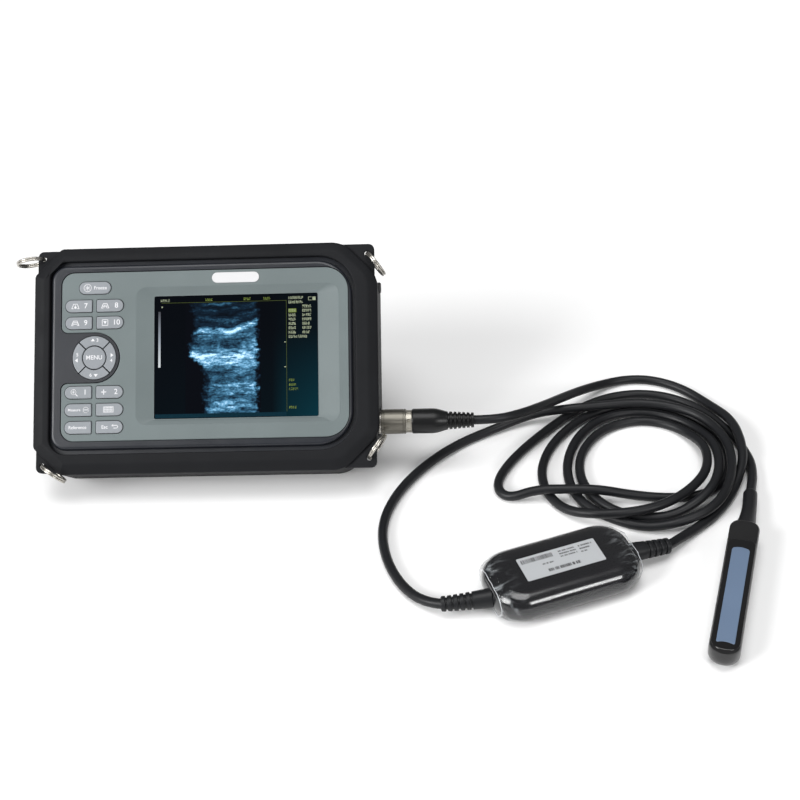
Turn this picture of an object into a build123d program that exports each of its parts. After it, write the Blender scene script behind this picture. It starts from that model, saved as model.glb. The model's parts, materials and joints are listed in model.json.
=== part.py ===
"""Portable veterinary ultrasound scanner: console on its stand, in-line box, cords and rectal probe.

Millimetres, +Z up. The table is Z = 0. The origin is the middle of the flat strip along the lower rear
edge of the rubber bumper, on which the console rests while it leans back on its kickstand. The display
faces -Y and up, the probe socket points along +X.

The console is drawn in a face frame (x to the right, y up along the face, z out of the face, with the
front plane of the bumper at z = 0) and then placed by console().
"""

import math
import os

from build123d import *

# Console as a whole
LEAN = 45.0
BUMPER_W = 242.0
BUMPER_H = 160.0
BUMPER_D = 44.0
FOOT_CHAMFER = 3.0
WALL = 5.0
LEFT_CHAMFER = 19.0
LEFT_SOFTEN = 5.0
RIGHT_CHAMFER = 24.0
RIGHT_SOFTEN = 20.0
LIP = 5.0
REAR_LIP = 4.0
SLOPE_HEIGHT = 4.0
SLOPE_ANGLE = 60.0
FIT = 0.2

# Case, seen from the front
OPENING = (-109.3, 105.4, -66.0, 70.0)
OPENING_R = (12.0, 26.0)
RIM = (-108.3, 103.4, -63.0, 67.2)
RIM_R = (10.5, 25.0)
RIM_TOP = -1.0
RIM_EDGE_R = 2.6
PANEL = (-101.0, 100.6, -57.0, 62.0)
PANEL_R = (9.0, 16.5)
PANEL_TOP = -1.4
PANEL_THICK = 1.8
PANEL_EDGE_R = 0.45
PANEL_GAP = 0.45
PLATE_BOTTOM = -5.6
SHELL = 2.5
PARTING = -20.0
REAR_PLATEAU = (-93.5, 91.5, -62.0, 60.0)
REAR_PLATEAU_R = 11.0
PLATEAU_Z = -42.6
REAR_INSIDE_Z = -36.8

# Display
RECESS = (-48.3, 94.0, -46.3, 50.6)
RECESS_R = 7.0
RECESS_STEEP = (2.6, 1.7)
RECESS_DEPTH = 2.8
FRAME_DEPTH = 4.2
SCREEN_W = 115.0
SCREEN_H = 86.6
SCREEN_CENTRE = (21.5, 1.2)
SCREEN_R = 1.2
WINDOW_THICK = 1.2

# Keys
KEY_W = 18.8
KEY_H = 8.6
KEY_COLUMNS = (-88.8, -66.7)
KEY_ROWS = (38.2, 26.2, -22.8, -35.1, -47.4)
FREEZE_CENTRE = (-77.4, 51.0)
FREEZE_W = 22.3
KEY_TOP = -0.6
KEY_BOTTOM = -8.2
KEY_FLANGE = 0.9
FLANGE_TOP = -5.9
FLANGE_BOTTOM = -7.0
KEY_GAP = 0.45
PAD_CENTRE = (-77.6, 1.5)
PAD_R = 15.3
PAD_INNER_R = 8.65
PAD_SLOT = 0.9
MENU_R = 8.0
ISLAND_R = 17.9
BOARD_TOP = -10.4

# Socket, plug and power button, on the right side
SOCKET_Y = -45.5
SOCKET_Z = -20.0
SLEEVE_R = 8.7
BUTTON_Y = 49.8
BUTTON_Z = -20.0

# Strap tabs and rings: hole places and the direction in which each ring lies, in the face
TAB_TOP = -4.0
TAB_THICK = 4.0
TAB_X = 119.0
TAB_Y = 78.5
TAB_R = 4.0
TAB_HOLE_R = 2.4
RING_R = 9.6
RING_WIRE_R = 0.8
RINGS = (
    (-115.0, 73.2, 190.0),
    (113.8, 72.0, -52.0),
    (113.8, -72.0, 55.0),
    (-115.0, -73.2, -35.0),
)

# Kickstand
STAND_W = 88.0
STAND_T = 3.4
STAND_LEG = 78.0
STAND_Y = 24.0
STAND_Z = -40.9
BARREL_R = 2.2
PIN_R = 1.2

# Battery bay, in the rear
BAY = (53.0, 87.0, -44.0, 44.0)
BAY_TOP = -25.0
DOOR = (51.0, 89.0, -46.0, 50.0)
DOOR_SEAT = -40.2

# In-line box: centre on the table, turn about Z, size over the shells
BOX_CENTRE = (240.0, -116.5)
BOX_TURN = 20.6
BOX_L = 102.0
BOX_W = 55.0
BOX_BASE = 0.7
BOX_H = 22.6
BOX_R = 19.0
BOX_EDGE_R = 10.3
BOX_WALL = 2.0
LABEL_L = 54.0
LABEL_W = 20.8
FILM_GAP = 0.3
FILM_THICK = 0.35
FILM_L = 100.0

# Probe, lying on the table with its window up
PROBE_START = (364.2, -75.4)
PROBE_TURN = 254.9
PROBE_L = 121.5
PROBE_W = 19.6
PROBE_H = 18.0
PROBE_WINDOW = (29.5, 113.5)
PROBE_WINDOW_W = 11.3
PROBE_NOSE_R = 12.0

# Cords: both are the same cable
CORD_R = 3.3
LOW = CORD_R
TOP = 11.0

# Where the console's face lies
SIN = math.sin(math.radians(LEAN))
FACE_Y = (BUMPER_H / 2 - BUMPER_D) * SIN
FACE_Z = (BUMPER_H / 2 + BUMPER_D) * SIN - FOOT_CHAMFER * SIN
PLUG_Y = FACE_Y + (SOCKET_Y - SOCKET_Z) * SIN
PLUG_Z = FACE_Z + (SOCKET_Y + SOCKET_Z) * SIN
PLUG_END_X = 186.0

# Route of the cord from the plug to the in-line box
CONSOLE_CORD = [
    (PLUG_END_X, PLUG_Y, PLUG_Z), (202, PLUG_Y, PLUG_Z), (219, 16, 37), (235, 34, 29), (251, 56, 19),
    (267, 76, 10), (285, 91, 4), (304, 97, LOW), (323, 95, LOW), (343, 84, LOW), (360, 64, LOW),
    (372, 40, 9), (375, 15, TOP), (374, -7, 9), (364, -31, LOW), (351, -52, LOW), (335, -67, LOW),
    (322, -79, 5), (311, -91, 9),
]
# Route of the cord from the in-line box to the probe, laid down in four loose loops
PROBE_CORD = [
    (164, -140, 9), (152, -136, 6), (136, -117, LOW), (125, -90, LOW), (122, -60, LOW), (130, -31, LOW),
    (147, -3, LOW), (172, 23, LOW), (203, 42, LOW), (230, 52, 8), (254, 53, TOP), (279, 56, TOP),
    (305, 59, TOP), (331, 54, TOP), (352, 41, TOP), (365, 17, TOP), (366, -10, TOP), (359, -37, TOP),
    (345, -58, TOP), (322, -68, 8), (299, -67, LOW), (277, -57, LOW), (260, -43, LOW), (251, -20, LOW),
    (252, 7, LOW), (263, 34, LOW), (283, 53, LOW), (309, 58, LOW), (333, 50, LOW), (350, 32, 5),
    (357, 8, TOP), (356, -18, TOP), (345, -42, TOP), (321, -56, LOW), (298, -57, LOW), (279, -49, LOW),
    (265, -32, LOW), (259, -10, LOW), (263, 15, LOW), (279, 38, LOW), (304, 48, LOW), (327, 43, LOW),
    (343, 27, 5), (350, 5, TOP), (347, -19, TOP), (332, -39, TOP), (313, -53, TOP), (291, -60, TOP),
    (266, -60, 10), (246, -48, LOW), (234, -27, LOW), (233, -1, LOW), (245, 28, LOW), (268, 54, LOW),
    (297, 66, LOW), (325, 63, LOW), (349, 49, LOW), (363, 26, LOW), (366, 0, LOW), (359, -21, LOW),
    (345, -35, LOW), (319, -38, LOW), (294, -37, 6), (271, -36, TOP), (249, -35, TOP), (228, -34, 10),
    (210, -35, LOW), (202, -27, LOW), (203, -13, LOW), (215, 9, LOW), (238, 37, LOW), (264, 63, LOW),
    (290, 77, LOW), (318, 79, LOW), (344, 68, LOW), (363, 46, LOW), (376, 19, LOW), (382, -10, LOW),
    (374, -37, 6.5),
]


def console(shape):
    """Places a shape that is drawn in the face frame."""
    return Location((0, FACE_Y, FACE_Z), (LEAN, 0, 0)) * shape


def on_box(shape):
    """Places a shape that is drawn about the in-line box's own centre, with x along the box."""
    return Location((*BOX_CENTRE, 0), (0, 0, BOX_TURN)) * shape


def on_probe(shape):
    """Places a shape that is drawn along the probe, with x from its cord end to its nose."""
    return Location((*PROBE_START, 0), (0, 0, PROBE_TURN)) * shape


def slab(sketch, low, high):
    return extrude(Pos(0, 0, low) * sketch, high - low)


def plate(bounds, radius_left, radius_right):
    """A rectangle (x0, x1, y0, y1) with one corner radius on its left and another on its right."""
    x0, x1, y0, y1 = bounds
    shape = Pos((x0 + x1) / 2, (y0 + y1) / 2) * Rectangle(x1 - x0, y1 - y0)
    shape = fillet(shape.vertices().sort_by(Axis.X)[:2], radius_left)
    return fillet(shape.vertices().sort_by(Axis.X)[-2:], radius_right)


def grown(bounds, by):
    x0, x1, y0, y1 = bounds
    return (x0 - by, x1 + by, y0 - by, y1 + by)


def block(bounds, low, high):
    """A box from (x0, x1, y0, y1) and two heights."""
    x0, x1, y0, y1 = bounds
    return Pos((x0 + x1) / 2, (y0 + y1) / 2, (low + high) / 2) * Box(x1 - x0, y1 - y0, high - low)


def rod(radius, start, end):
    """A cylinder between two points."""
    run = Vector(*end) - Vector(*start)
    plane = Plane(origin=start, z_dir=run)
    return extrude(plane * Circle(radius), run.length)


def bumper_outline(inset):
    """The bumper seen from the front: cut corners on the left, wide soft corners on the right."""
    shape = Rectangle(BUMPER_W, BUMPER_H)
    shape = chamfer(shape.vertices().sort_by(Axis.X)[:2], LEFT_CHAMFER)
    shape = chamfer(shape.vertices().sort_by(Axis.X)[-2:], RIGHT_CHAMFER)
    corners = shape.vertices()
    shape = fillet([v for v in corners if v.X < 0], LEFT_SOFTEN)
    shape = fillet([v for v in shape.vertices() if v.X > BUMPER_W / 2 - RIGHT_CHAMFER - 1], RIGHT_SOFTEN)
    return offset(shape, -inset) if inset else shape


def key_outline(column, width=KEY_W, height=KEY_H):
    """A key with a round outer end and a nearly square inner end. Column 0 is the left one."""
    shape = Rectangle(width, height)
    outer = fillet(shape.vertices().sort_by(Axis.X)[:2], height / 2 - 0.05)
    shape = fillet(outer.vertices().sort_by(Axis.X)[-2:], 0.8)
    return shape if column == 0 else mirror(shape, Plane.YZ)


def plain_keys():
    """Name, centre and outline of each key that isn't part of the direction pad."""
    names = (
        ("key_7", "key_8"),
        ("key_9", "key_10"),
        ("key_1", "key_2"),
        ("key_measure", "key_keyboard"),
        ("key_reference", "key_escape"),
    )
    keys = [("key_freeze", FREEZE_CENTRE, SlotOverall(FREEZE_W, KEY_H))]
    for row, pair in zip(KEY_ROWS, names):
        for column, name in enumerate(pair):
            keys.append((name, (KEY_COLUMNS[column], row), key_outline(column)))
    return keys


def make_plain_key(centre, outline):
    """A cap that stands out of the panel, with a flange that keeps it in and a stem above its switch."""
    cap = slab(outline, FLANGE_BOTTOM, KEY_TOP)
    cap = fillet(cap.faces().sort_by(Axis.Z)[-1].edges(), 0.5)
    flange = slab(offset(outline, KEY_FLANGE), FLANGE_BOTTOM, FLANGE_TOP)
    stem = slab(Circle(2.0), KEY_BOTTOM, FLANGE_BOTTOM)
    return Pos(*centre) * (cap + flange + stem)


def make_pad_key(turn):
    """A quarter of the direction pad, turned to its side of the pad. Half of each slot is taken off it."""
    ring = slab(Circle(PAD_R) - Circle(PAD_INNER_R), FLANGE_BOTTOM, KEY_TOP)
    ring = fillet(ring.faces().sort_by(Axis.Z)[-1].edges(), 0.5)
    ring += slab(Circle(PAD_R + 1.6) - Circle(PAD_R - 1.5), FLANGE_BOTTOM, FLANGE_TOP)
    shift = PAD_SLOT / math.sqrt(2)
    reach = PAD_R * 2
    wedge = make_face(Polyline((0, shift), (reach, reach + shift), (-reach, reach + shift), close=True))
    cap = ring & slab(wedge, FLANGE_BOTTOM, KEY_TOP)
    stem = Pos(0, (PAD_R + PAD_INNER_R) / 2) * slab(Circle(1.6), KEY_BOTTOM, FLANGE_BOTTOM)
    return Pos(*PAD_CENTRE) * Rot(0, 0, turn) * (cap + stem)


def make_menu_key():
    cap = slab(Circle(MENU_R), -9.3, KEY_TOP + 0.1)
    cap = fillet(cap.faces().sort_by(Axis.Z)[-1].edges(), 0.5)
    flange = slab(Circle(MENU_R + 2.0), -9.3, -8.4)
    return Pos(*PAD_CENTRE) * (cap + flange)


def make_bumper():
    outline = bumper_outline(0)
    body = slab(outline, -BUMPER_D, -SLOPE_HEIGHT)
    body = chamfer(body.faces().sort_by(Axis.Z)[0].outer_wire().edges(), FOOT_CHAMFER)
    body += extrude(Pos(0, 0, -SLOPE_HEIGHT) * outline, SLOPE_HEIGHT, taper=SLOPE_ANGLE)
    tab = slab(plate((-TAB_X, TAB_X, -TAB_Y, TAB_Y), TAB_R, TAB_R), TAB_TOP - TAB_THICK, TAB_TOP)
    keep = Box(50, 50, 60)
    corners = [Pos(sx * BUMPER_W / 2, sy * BUMPER_H / 2) * keep for sx in (-1, 1) for sy in (-1, 1)]
    body += [tab & corner for corner in corners]
    body -= slab(bumper_outline(WALL), -BUMPER_D + REAR_LIP, -LIP)
    body -= slab(plate(OPENING, *OPENING_R), -LIP - 1, 1)
    rear = plate(grown(REAR_PLATEAU, 0.8), REAR_PLATEAU_R + 0.8, REAR_PLATEAU_R + 0.8)
    body -= slab(rear, -BUMPER_D - 1, -BUMPER_D + REAR_LIP + 1)
    side = BUMPER_W / 2
    body -= rod(10.2, (side - 12, SOCKET_Y, SOCKET_Z), (side + 2, SOCKET_Y, SOCKET_Z))
    body -= rod(4.4, (side - 12, BUTTON_Y, BUTTON_Z), (side + 2, BUTTON_Y, BUTTON_Z))
    for x, y, _ in RINGS:
        body -= Pos(x, y) * slab(Circle(TAB_HOLE_R), TAB_TOP - TAB_THICK - 1, TAB_TOP + 1)
    return body


def make_ring(x, y, direction):
    """A split ring of two coils. Its plane holds the face's normal, and its wire runs through the hole."""
    half = RING_WIRE_R * 0.9
    coils = Pos(0, 0, half) * Torus(RING_R, RING_WIRE_R) + Pos(0, 0, -half) * Torus(RING_R, RING_WIRE_R)
    upright = Pos(RING_R, 0, 0) * Rot(90, 0, 0) * coils
    return Pos(x, y, TAB_TOP - TAB_THICK / 2) * Rot(0, 0, direction) * upright


def panel_outline(gap):
    """The grey inlay, with the cut-out that the bezel's island fills. A gap makes the bezel's pocket."""
    x, y = PAD_CENTRE
    outline = plate(PANEL, *PANEL_R)
    island = Pos(x, y) * Circle(ISLAND_R)
    reach = x - PANEL[0] + 5
    island += Pos(x - reach / 2, y) * Rectangle(reach, 2 * ISLAND_R)
    outline -= island
    tips = [v for v in outline.vertices() if v.X < PANEL[0] + 0.1 and abs(v.Y - y) < ISLAND_R + 1]
    outline = fillet(tips, 4.5)
    return offset(outline, gap) if gap else outline


def key_holes(low, high):
    """The wells that the keys move in."""
    wells = []
    for _, centre, outline in plain_keys():
        wells.append(Pos(*centre) * slab(offset(outline, KEY_GAP), low, high))
    return wells


def screw_places():
    return ((-54, 55.5), (-54, -56), (86, 55.5), (86, -56))


def make_front_bezel():
    bottom = PARTING + 0.05
    body = slab(bumper_outline(WALL + FIT), bottom, -LIP - FIT)
    rim = slab(plate(RIM, *RIM_R), -LIP - 1, RIM_TOP)
    rim = fillet(rim.faces().sort_by(Axis.Z)[-1].edges(), RIM_EDGE_R)
    body += rim
    body -= slab(bumper_outline(WALL + FIT + SHELL), bottom - 1, -LIP - FIT - SHELL)
    body -= slab(plate(grown(RIM, -2.2), RIM_R[0] - 2, RIM_R[1] - 2), -LIP - FIT - SHELL - 1, PLATE_BOTTOM)
    body -= slab(panel_outline(PANEL_GAP), PANEL_TOP - PANEL_THICK - 0.1, 0)
    body -= slab(plate(grown(RECESS, 0.3), RECESS_R, RECESS_R), PLATE_BOTTOM - 1, 0)
    body -= key_holes(PLATE_BOTTOM - 1, 0)
    body -= Pos(*PAD_CENTRE) * slab(Circle(PAD_R + KEY_GAP), PLATE_BOTTOM - 1, 0)
    for x, y in screw_places():
        body += Pos(x, y) * slab(Circle(3.4), bottom, PLATE_BOTTOM + 0.5)
        body -= Pos(x, y) * slab(Circle(1.5), bottom - 1, -9)
    side = BUMPER_W / 2
    body -= rod(8.7, (side - 14, SOCKET_Y, SOCKET_Z), (side, SOCKET_Y, SOCKET_Z))
    body -= rod(3.8, (side - 14, BUTTON_Y, BUTTON_Z), (side, BUTTON_Y, BUTTON_Z))
    return body


def make_front_panel():
    body = slab(panel_outline(0), PANEL_TOP - PANEL_THICK, PANEL_TOP)
    body = fillet(body.faces().sort_by(Axis.Z)[-1].edges(), PANEL_EDGE_R)
    recess = plate(RECESS, RECESS_R, RECESS_R)
    body += slab(recess, PANEL_TOP - FRAME_DEPTH, PANEL_TOP - PANEL_THICK)
    floor_z = PANEL_TOP - RECESS_DEPTH
    window = Pos(*SCREEN_CENTRE) * RectangleRounded(SCREEN_W + 1, SCREEN_H + 1, SCREEN_R + 0.5)
    inset, drop = RECESS_STEEP
    step = Pos(0, 0, PANEL_TOP - drop) * plate(grown(RECESS, -inset), RECESS_R - inset, RECESS_R - inset)
    body -= loft([step, Pos(0, 0, PANEL_TOP) * recess])
    body -= loft([Pos(0, 0, floor_z) * window, step])
    hole = Pos(*SCREEN_CENTRE) * RectangleRounded(SCREEN_W + 0.2, SCREEN_H + 0.2, SCREEN_R + 0.1)
    body -= slab(hole, floor_z - 5, PANEL_TOP)
    body -= key_holes(PANEL_TOP - PANEL_THICK - 1, 0)
    body -= slab(badge_outline(0.1), PANEL_TOP - 0.8, 0)
    return body


def badge_outline(gap):
    return Pos(21.8, 56.3) * SlotOverall(33.2 + 2 * gap, 7.4 + 2 * gap)


def make_badge():
    body = slab(badge_outline(0), PANEL_TOP - 0.8, PANEL_TOP + 0.4)
    return fillet(body.faces().sort_by(Axis.Z)[-1].edges(), 0.3)


def make_display_window():
    top = PANEL_TOP - RECESS_DEPTH - 0.1
    return slab(Pos(*SCREEN_CENTRE) * RectangleRounded(SCREEN_W, SCREEN_H, SCREEN_R), top - WINDOW_THICK, top)


def make_display_module():
    top = PANEL_TOP - FRAME_DEPTH - 0.15
    return Pos(*SCREEN_CENTRE, top - 2.9) * Box(124, 97, 5.8)


def make_keypad_board():
    body = block((-103, -50, -58, 58), BOARD_TOP - 1.6, BOARD_TOP)
    for x, y in screw_places():
        body -= Pos(x, y) * slab(Circle(3.8), BOARD_TOP - 2, BOARD_TOP + 1)
    return body


def make_main_board():
    body = block((-80, 46, -52, 50), -22.6, -21.0)
    for x, y, w, h in ((-40, 10, 28, 28), (0, -20, 20, 14), (10, 25, 16, 22), (-55, -35, 18, 10)):
        body += Pos(x, y, -20.1) * Box(w, h, 2.0)
    return body


def make_rear_cover():
    bottom = -BUMPER_D + REAR_LIP + FIT
    body = slab(bumper_outline(WALL + FIT), bottom, PARTING - 0.05)
    raised = slab(plate(REAR_PLATEAU, REAR_PLATEAU_R, REAR_PLATEAU_R), PLATEAU_Z, bottom + 1)
    body += chamfer(raised.faces().sort_by(Axis.Z)[0].edges(), 0.8)
    body -= slab(bumper_outline(WALL + FIT + SHELL), REAR_INSIDE_Z, PARTING + 1)
    body += block(grown(BAY, 1.5), REAR_INSIDE_Z - 1, BAY_TOP + 1.5)
    body -= block(BAY, PLATEAU_Z - 1, BAY_TOP)
    body -= block(DOOR, PLATEAU_Z - 1, DOOR_SEAT)
    body -= block((65, 75, DOOR[3] - 1, DOOR[3] + 3), -41.4, -40.2)
    half = STAND_W / 2 + 0.6
    pocket = (-half, half, STAND_Y - STAND_LEG - STAND_T, STAND_Y + 5)
    body -= block(pocket, PLATEAU_Z - 1, STAND_Z + BARREL_R + 0.35)
    reach = half + 4.5
    body -= rod(PIN_R + 0.02, (-reach, STAND_Y, STAND_Z), (reach, STAND_Y, STAND_Z))
    for x, y in screw_places():
        body += Pos(x, y) * slab(Circle(3.4), REAR_INSIDE_Z - 1, PARTING - 0.05)
        body -= Pos(x, y) * slab(Circle(1.6), PLATEAU_Z - 1, PARTING + 1)
        body -= Pos(x, y, PLATEAU_Z + 0.9) * Cone(2.95, 1.6, 1.8)
    side = BUMPER_W / 2
    body -= rod(8.7, (side - 14, SOCKET_Y, SOCKET_Z), (side, SOCKET_Y, SOCKET_Z))
    body -= rod(3.8, (side - 14, BUTTON_Y, BUTTON_Z), (side, BUTTON_Y, BUTTON_Z))
    return body


def make_case_screws():
    screws = []
    for x, y in screw_places():
        shank = Pos(x, y) * slab(Circle(1.45), PLATEAU_Z + 1.0, -9.5)
        head = Pos(x, y, PLATEAU_Z + 0.95) * Cone(2.8, 1.45, 1.7)
        slot = Pos(x, y, PLATEAU_Z + 0.2) * Box(3.6, 0.7, 1.2)
        slot += Pos(x, y, PLATEAU_Z + 0.2) * Box(0.7, 3.6, 1.2)
        screws.append(shank + head - slot)
    return screws


def make_battery_pack():
    return block(grown(BAY, -0.8), DOOR_SEAT + 0.4, BAY_TOP - 0.5)


def latch_slot(grow):
    return block((64.4 - grow, 75.6 + grow, 37.6 - grow, 48.2 + grow), PLATEAU_Z - 1, DOOR_SEAT + 1)


def make_battery_door():
    body = block(grown(DOOR, -0.25), PLATEAU_Z, DOOR_SEAT - 0.2)
    body -= latch_slot(0)
    body -= block((66, 74, 48, 50), -41.6, DOOR_SEAT + 1)
    for i in range(5):
        body -= Pos(70, -38 + 3 * i, PLATEAU_Z) * Box(18, 1.2, 0.8)
    return body


def make_battery_latch():
    body = block((64.7, 75.3, 42.0, 47.9), PLATEAU_Z + 0.1, DOOR_SEAT - 0.25)
    body += block((66.3, 73.7, 47.5, 52.2), -41.3, -40.5)
    for i in range(3):
        body += Pos(70, 43.5 + 1.5 * i, PLATEAU_Z - 0.1) * Box(8, 0.7, 0.6)
    return body


def stand_angle():
    """How far the stand is folded out: its round foot then just touches the table."""
    pivot_height = FACE_Z + (STAND_Y + STAND_Z) * SIN
    below_horizontal = math.degrees(math.asin((pivot_height - STAND_T / 2) / STAND_LEG))
    return 90 + LEAN - below_horizontal


def make_kickstand():
    """Drawn folded against the case and then opened about its pin."""
    foot_y = STAND_Y - STAND_LEG
    half = STAND_W / 2
    leaf = block((-half, half, foot_y, STAND_Y), STAND_Z - STAND_T / 2, STAND_Z + STAND_T / 2)
    leaf = fillet(leaf.edges().filter_by(Axis.Z).sort_by(Axis.Y)[:2], 6.0)
    foot = rod(STAND_T / 2, (-half + 6, foot_y, STAND_Z), (half - 6, foot_y, STAND_Z))
    barrel = rod(BARREL_R, (-half, STAND_Y, STAND_Z), (half, STAND_Y, STAND_Z))
    body = leaf + foot + barrel
    for i in range(4):
        groove = Pos(0, foot_y + 8 + 4 * i, STAND_Z - STAND_T / 2) * Box(STAND_W - 26, 1.6, 1.2)
        body -= groove
    body -= rod(PIN_R + 0.06, (-half - 1, STAND_Y, STAND_Z), (half + 1, STAND_Y, STAND_Z))
    hinge = Pos(0, STAND_Y, STAND_Z)
    return hinge * Rot(stand_angle(), 0, 0) * hinge.inverse() * body


def make_kickstand_pin():
    reach = STAND_W / 2 + 4.8
    return rod(PIN_R, (-reach, STAND_Y, STAND_Z), (reach, STAND_Y, STAND_Z))


def make_power_button():
    """A round rubber-topped cap in the bumper's right side, on a stem to its switch."""
    side = BUMPER_W / 2
    cap = rod(3.9, (side - 3.5, BUTTON_Y, BUTTON_Z), (side + 1.6, BUTTON_Y, BUTTON_Z))
    cap = fillet(cap.faces().sort_by(Axis.X)[-1].edges(), 1.2)
    stem = rod(1.8, (side - 14, BUTTON_Y, BUTTON_Z), (side - 3, BUTTON_Y, BUTTON_Z))
    return cap + stem


def turned(profile):
    """A body of revolution along +X at the socket's axis, from a list of (x, radius)."""
    points = [(profile[0][0], 0), *profile, (profile[-1][0], 0)]
    face = make_face(Polyline(*points, close=True))
    return Pos(0, SOCKET_Y, SOCKET_Z) * revolve(face, Axis.X)


def make_socket():
    side = BUMPER_W / 2
    body = turned([(side - 13, 7.4), (side - 6, 7.4), (side - 6, 8.4), (side + 0.6, 8.4)])
    return body - rod(6.6, (side - 10, SOCKET_Y, SOCKET_Z), (side + 2, SOCKET_Y, SOCKET_Z))


def make_plug_core():
    side = BUMPER_W / 2
    body = turned([(side - 9, 6.5), (side + 17.9, 6.5)])
    for i in range(8):
        turn = math.radians(45 * i)
        y, z = SOCKET_Y + 3.8 * math.cos(turn), SOCKET_Z + 3.8 * math.sin(turn)
        body += rod(0.5, (side - 9.8, y, z), (side - 9, y, z))
    return body


def make_plug_sleeve():
    """The knurled locking sleeve that turns on the plug."""
    side = BUMPER_W / 2
    start, end = side + 0.9, side + 18.0
    body = turned([(start, SLEEVE_R - 0.5), (start + 0.5, SLEEVE_R), (end - 0.5, SLEEVE_R), (end, SLEEVE_R - 0.5)])
    for i in range(24):
        turn = math.radians(15 * i)
        y = SOCKET_Y + (SLEEVE_R + 0.1) * math.cos(turn)
        z = SOCKET_Z + (SLEEVE_R + 0.1) * math.sin(turn)
        body -= rod(0.32, (start + 3, y, z), (end - 5, y, z))
    return body - rod(6.56, (start - 1, SOCKET_Y, SOCKET_Z), (end + 1, SOCKET_Y, SOCKET_Z))


def make_plug_ring():
    side = BUMPER_W / 2
    return turned([(side + 18.1, 8.0), (side + 22.2, 8.0)])


def make_plug_body():
    side = BUMPER_W / 2
    profile = [(side + 22.2, 8.4), (side + 22.8, 8.7), (side + 38.0, 8.7), (side + 41.5, 8.0), (side + 46.5, 6.4)]
    return turned(profile)


def relief_profile(start, length, base_r, tip_r, ribs):
    """Outline (x, radius) of a ribbed strain relief: flat-topped ribs with grooves between them."""
    pitch = length * 0.78 / ribs
    profile = [(start, base_r)]
    for i in range(ribs):
        x = start + length * 0.2 + i * pitch
        here = base_r + (tip_r - base_r) * (x - start) / length
        deep = here - 1.1
        profile += [(x, here), (x, deep), (x + pitch * 0.42, deep), (x + pitch * 0.42, here - 0.1)]
    profile.append((start + length, tip_r))
    return profile


def make_relief(start, end, base_r, tip_r, ribs):
    """A ribbed strain relief from one point to another."""
    axis = Vector(*end) - Vector(*start)
    profile = relief_profile(0, axis.length, base_r, tip_r, ribs)
    points = [(0, 0), *profile, (axis.length, 0)]
    body = revolve(make_face(Polyline(*points, close=True)), Axis.X)
    plane = Plane(origin=start, x_dir=axis, z_dir=axis.cross(Vector(0, 1, 0)).cross(axis))
    return plane.location * body


def make_plug_relief():
    start = BUMPER_W / 2 + 46.5
    return turned(relief_profile(start, PLUG_END_X - start, 6.3, 4.7, 6))


def corner_radii(route, share=0.45):
    """The tangent arc at each inner point: as large as 0.45 of the shorter of its two runs allows."""
    radii = []
    for before, here, after in zip(route, route[1:], route[2:]):
        first = Vector(*here) - Vector(*before)
        second = Vector(*after) - Vector(*here)
        turn = math.radians(first.get_angle(second))
        radii.append(share * min(first.length, second.length) / math.tan(turn / 2))
    return radii


def make_cord(name, route):
    radii = corner_radii(route)
    path = FilletPolyline(*route, radius=radii)
    start = Vector(*route[1]) - Vector(*route[0])
    section = Plane(origin=route[0], z_dir=start) * Circle(CORD_R)
    body = sweep(section, path=path, transition=Transition.ROUND)
    length = path.length
    expected = math.pi * CORD_R**2 * length
    print(name, "length", round(length), "volume", round(body.volume), "section x length", round(expected))
    print(name, "arc radii", [round(r) for r in radii])
    return body


def box_form(grow, low, high):
    """The in-line box's rounded outer form between two heights, grown all round."""
    outline = RectangleRounded(BOX_L + 2 * grow, BOX_W + 2 * grow, BOX_R + grow)
    body = slab(outline, BOX_BASE - grow, BOX_BASE + BOX_H + grow)
    ends = body.faces().filter_by(Axis.Z)
    body = fillet([e for f in ends for e in f.edges()], BOX_EDGE_R + grow)
    middle = (low + high) / 2
    return body & (Pos(0, 0, middle) * Box(2 * BOX_L, 2 * BOX_L, high - low))


BOX_SPLIT = BOX_BASE + BOX_H / 2
RELIEF_PROBE = ((195.0, -137.5, 11.2), (163.4, -140.1, 9.0))
RELIEF_CONSOLE = ((287.0, -98.6, 11.2), (311.8, -90.6, 9.0))


def box_reliefs():
    return [
        make_relief(*RELIEF_PROBE, 6.4, 4.9, 5),
        make_relief(*RELIEF_CONSOLE, 6.4, 5.3, 4),
    ]


def box_screw_places():
    return [(sx * 32, sy * 17) for sx in (-1, 1) for sy in (-1, 1)]


def make_box_shell(low, high, reliefs):
    body = box_form(0, low, high) - box_form(-BOX_WALL, low - 1, high + 1)
    for x, y in box_screw_places():
        body += Pos(x, y) * slab(Circle(3.2), BOX_BASE + 1, BOX_BASE + BOX_H - 1) & box_form(0, low, high)
        body -= Pos(x, y) * slab(Circle(1.1), BOX_BASE - 1, BOX_BASE + 16)
        body -= Pos(x, y) * slab(Circle(2.2), BOX_BASE - 1, BOX_BASE + 2)
    body = on_box(body)
    for relief in reliefs:
        body -= relief
    return body


def make_box_screws():
    screws = []
    for x, y in box_screw_places():
        shank = Pos(x, y) * slab(Circle(1.0), BOX_BASE + 1.5, BOX_BASE + 15)
        head = Pos(x, y) * slab(Circle(2.0), BOX_BASE + 0.5, BOX_BASE + 1.9)
        screws.append(on_box(shank + head))
    return screws


def make_box_board():
    body = Pos(0, 0, BOX_SPLIT) * Box(74, 26, 1.6)
    body += Pos(-8, 0, BOX_SPLIT + 2) * Box(22, 18, 2.6)
    body += Pos(20, -4, BOX_SPLIT + 1.8) * Box(12, 8, 2.2)
    return on_box(body)


def make_box_label():
    top = BOX_BASE + BOX_H
    return on_box(slab(Rectangle(LABEL_L, LABEL_W), top, top + 0.15))


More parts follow.
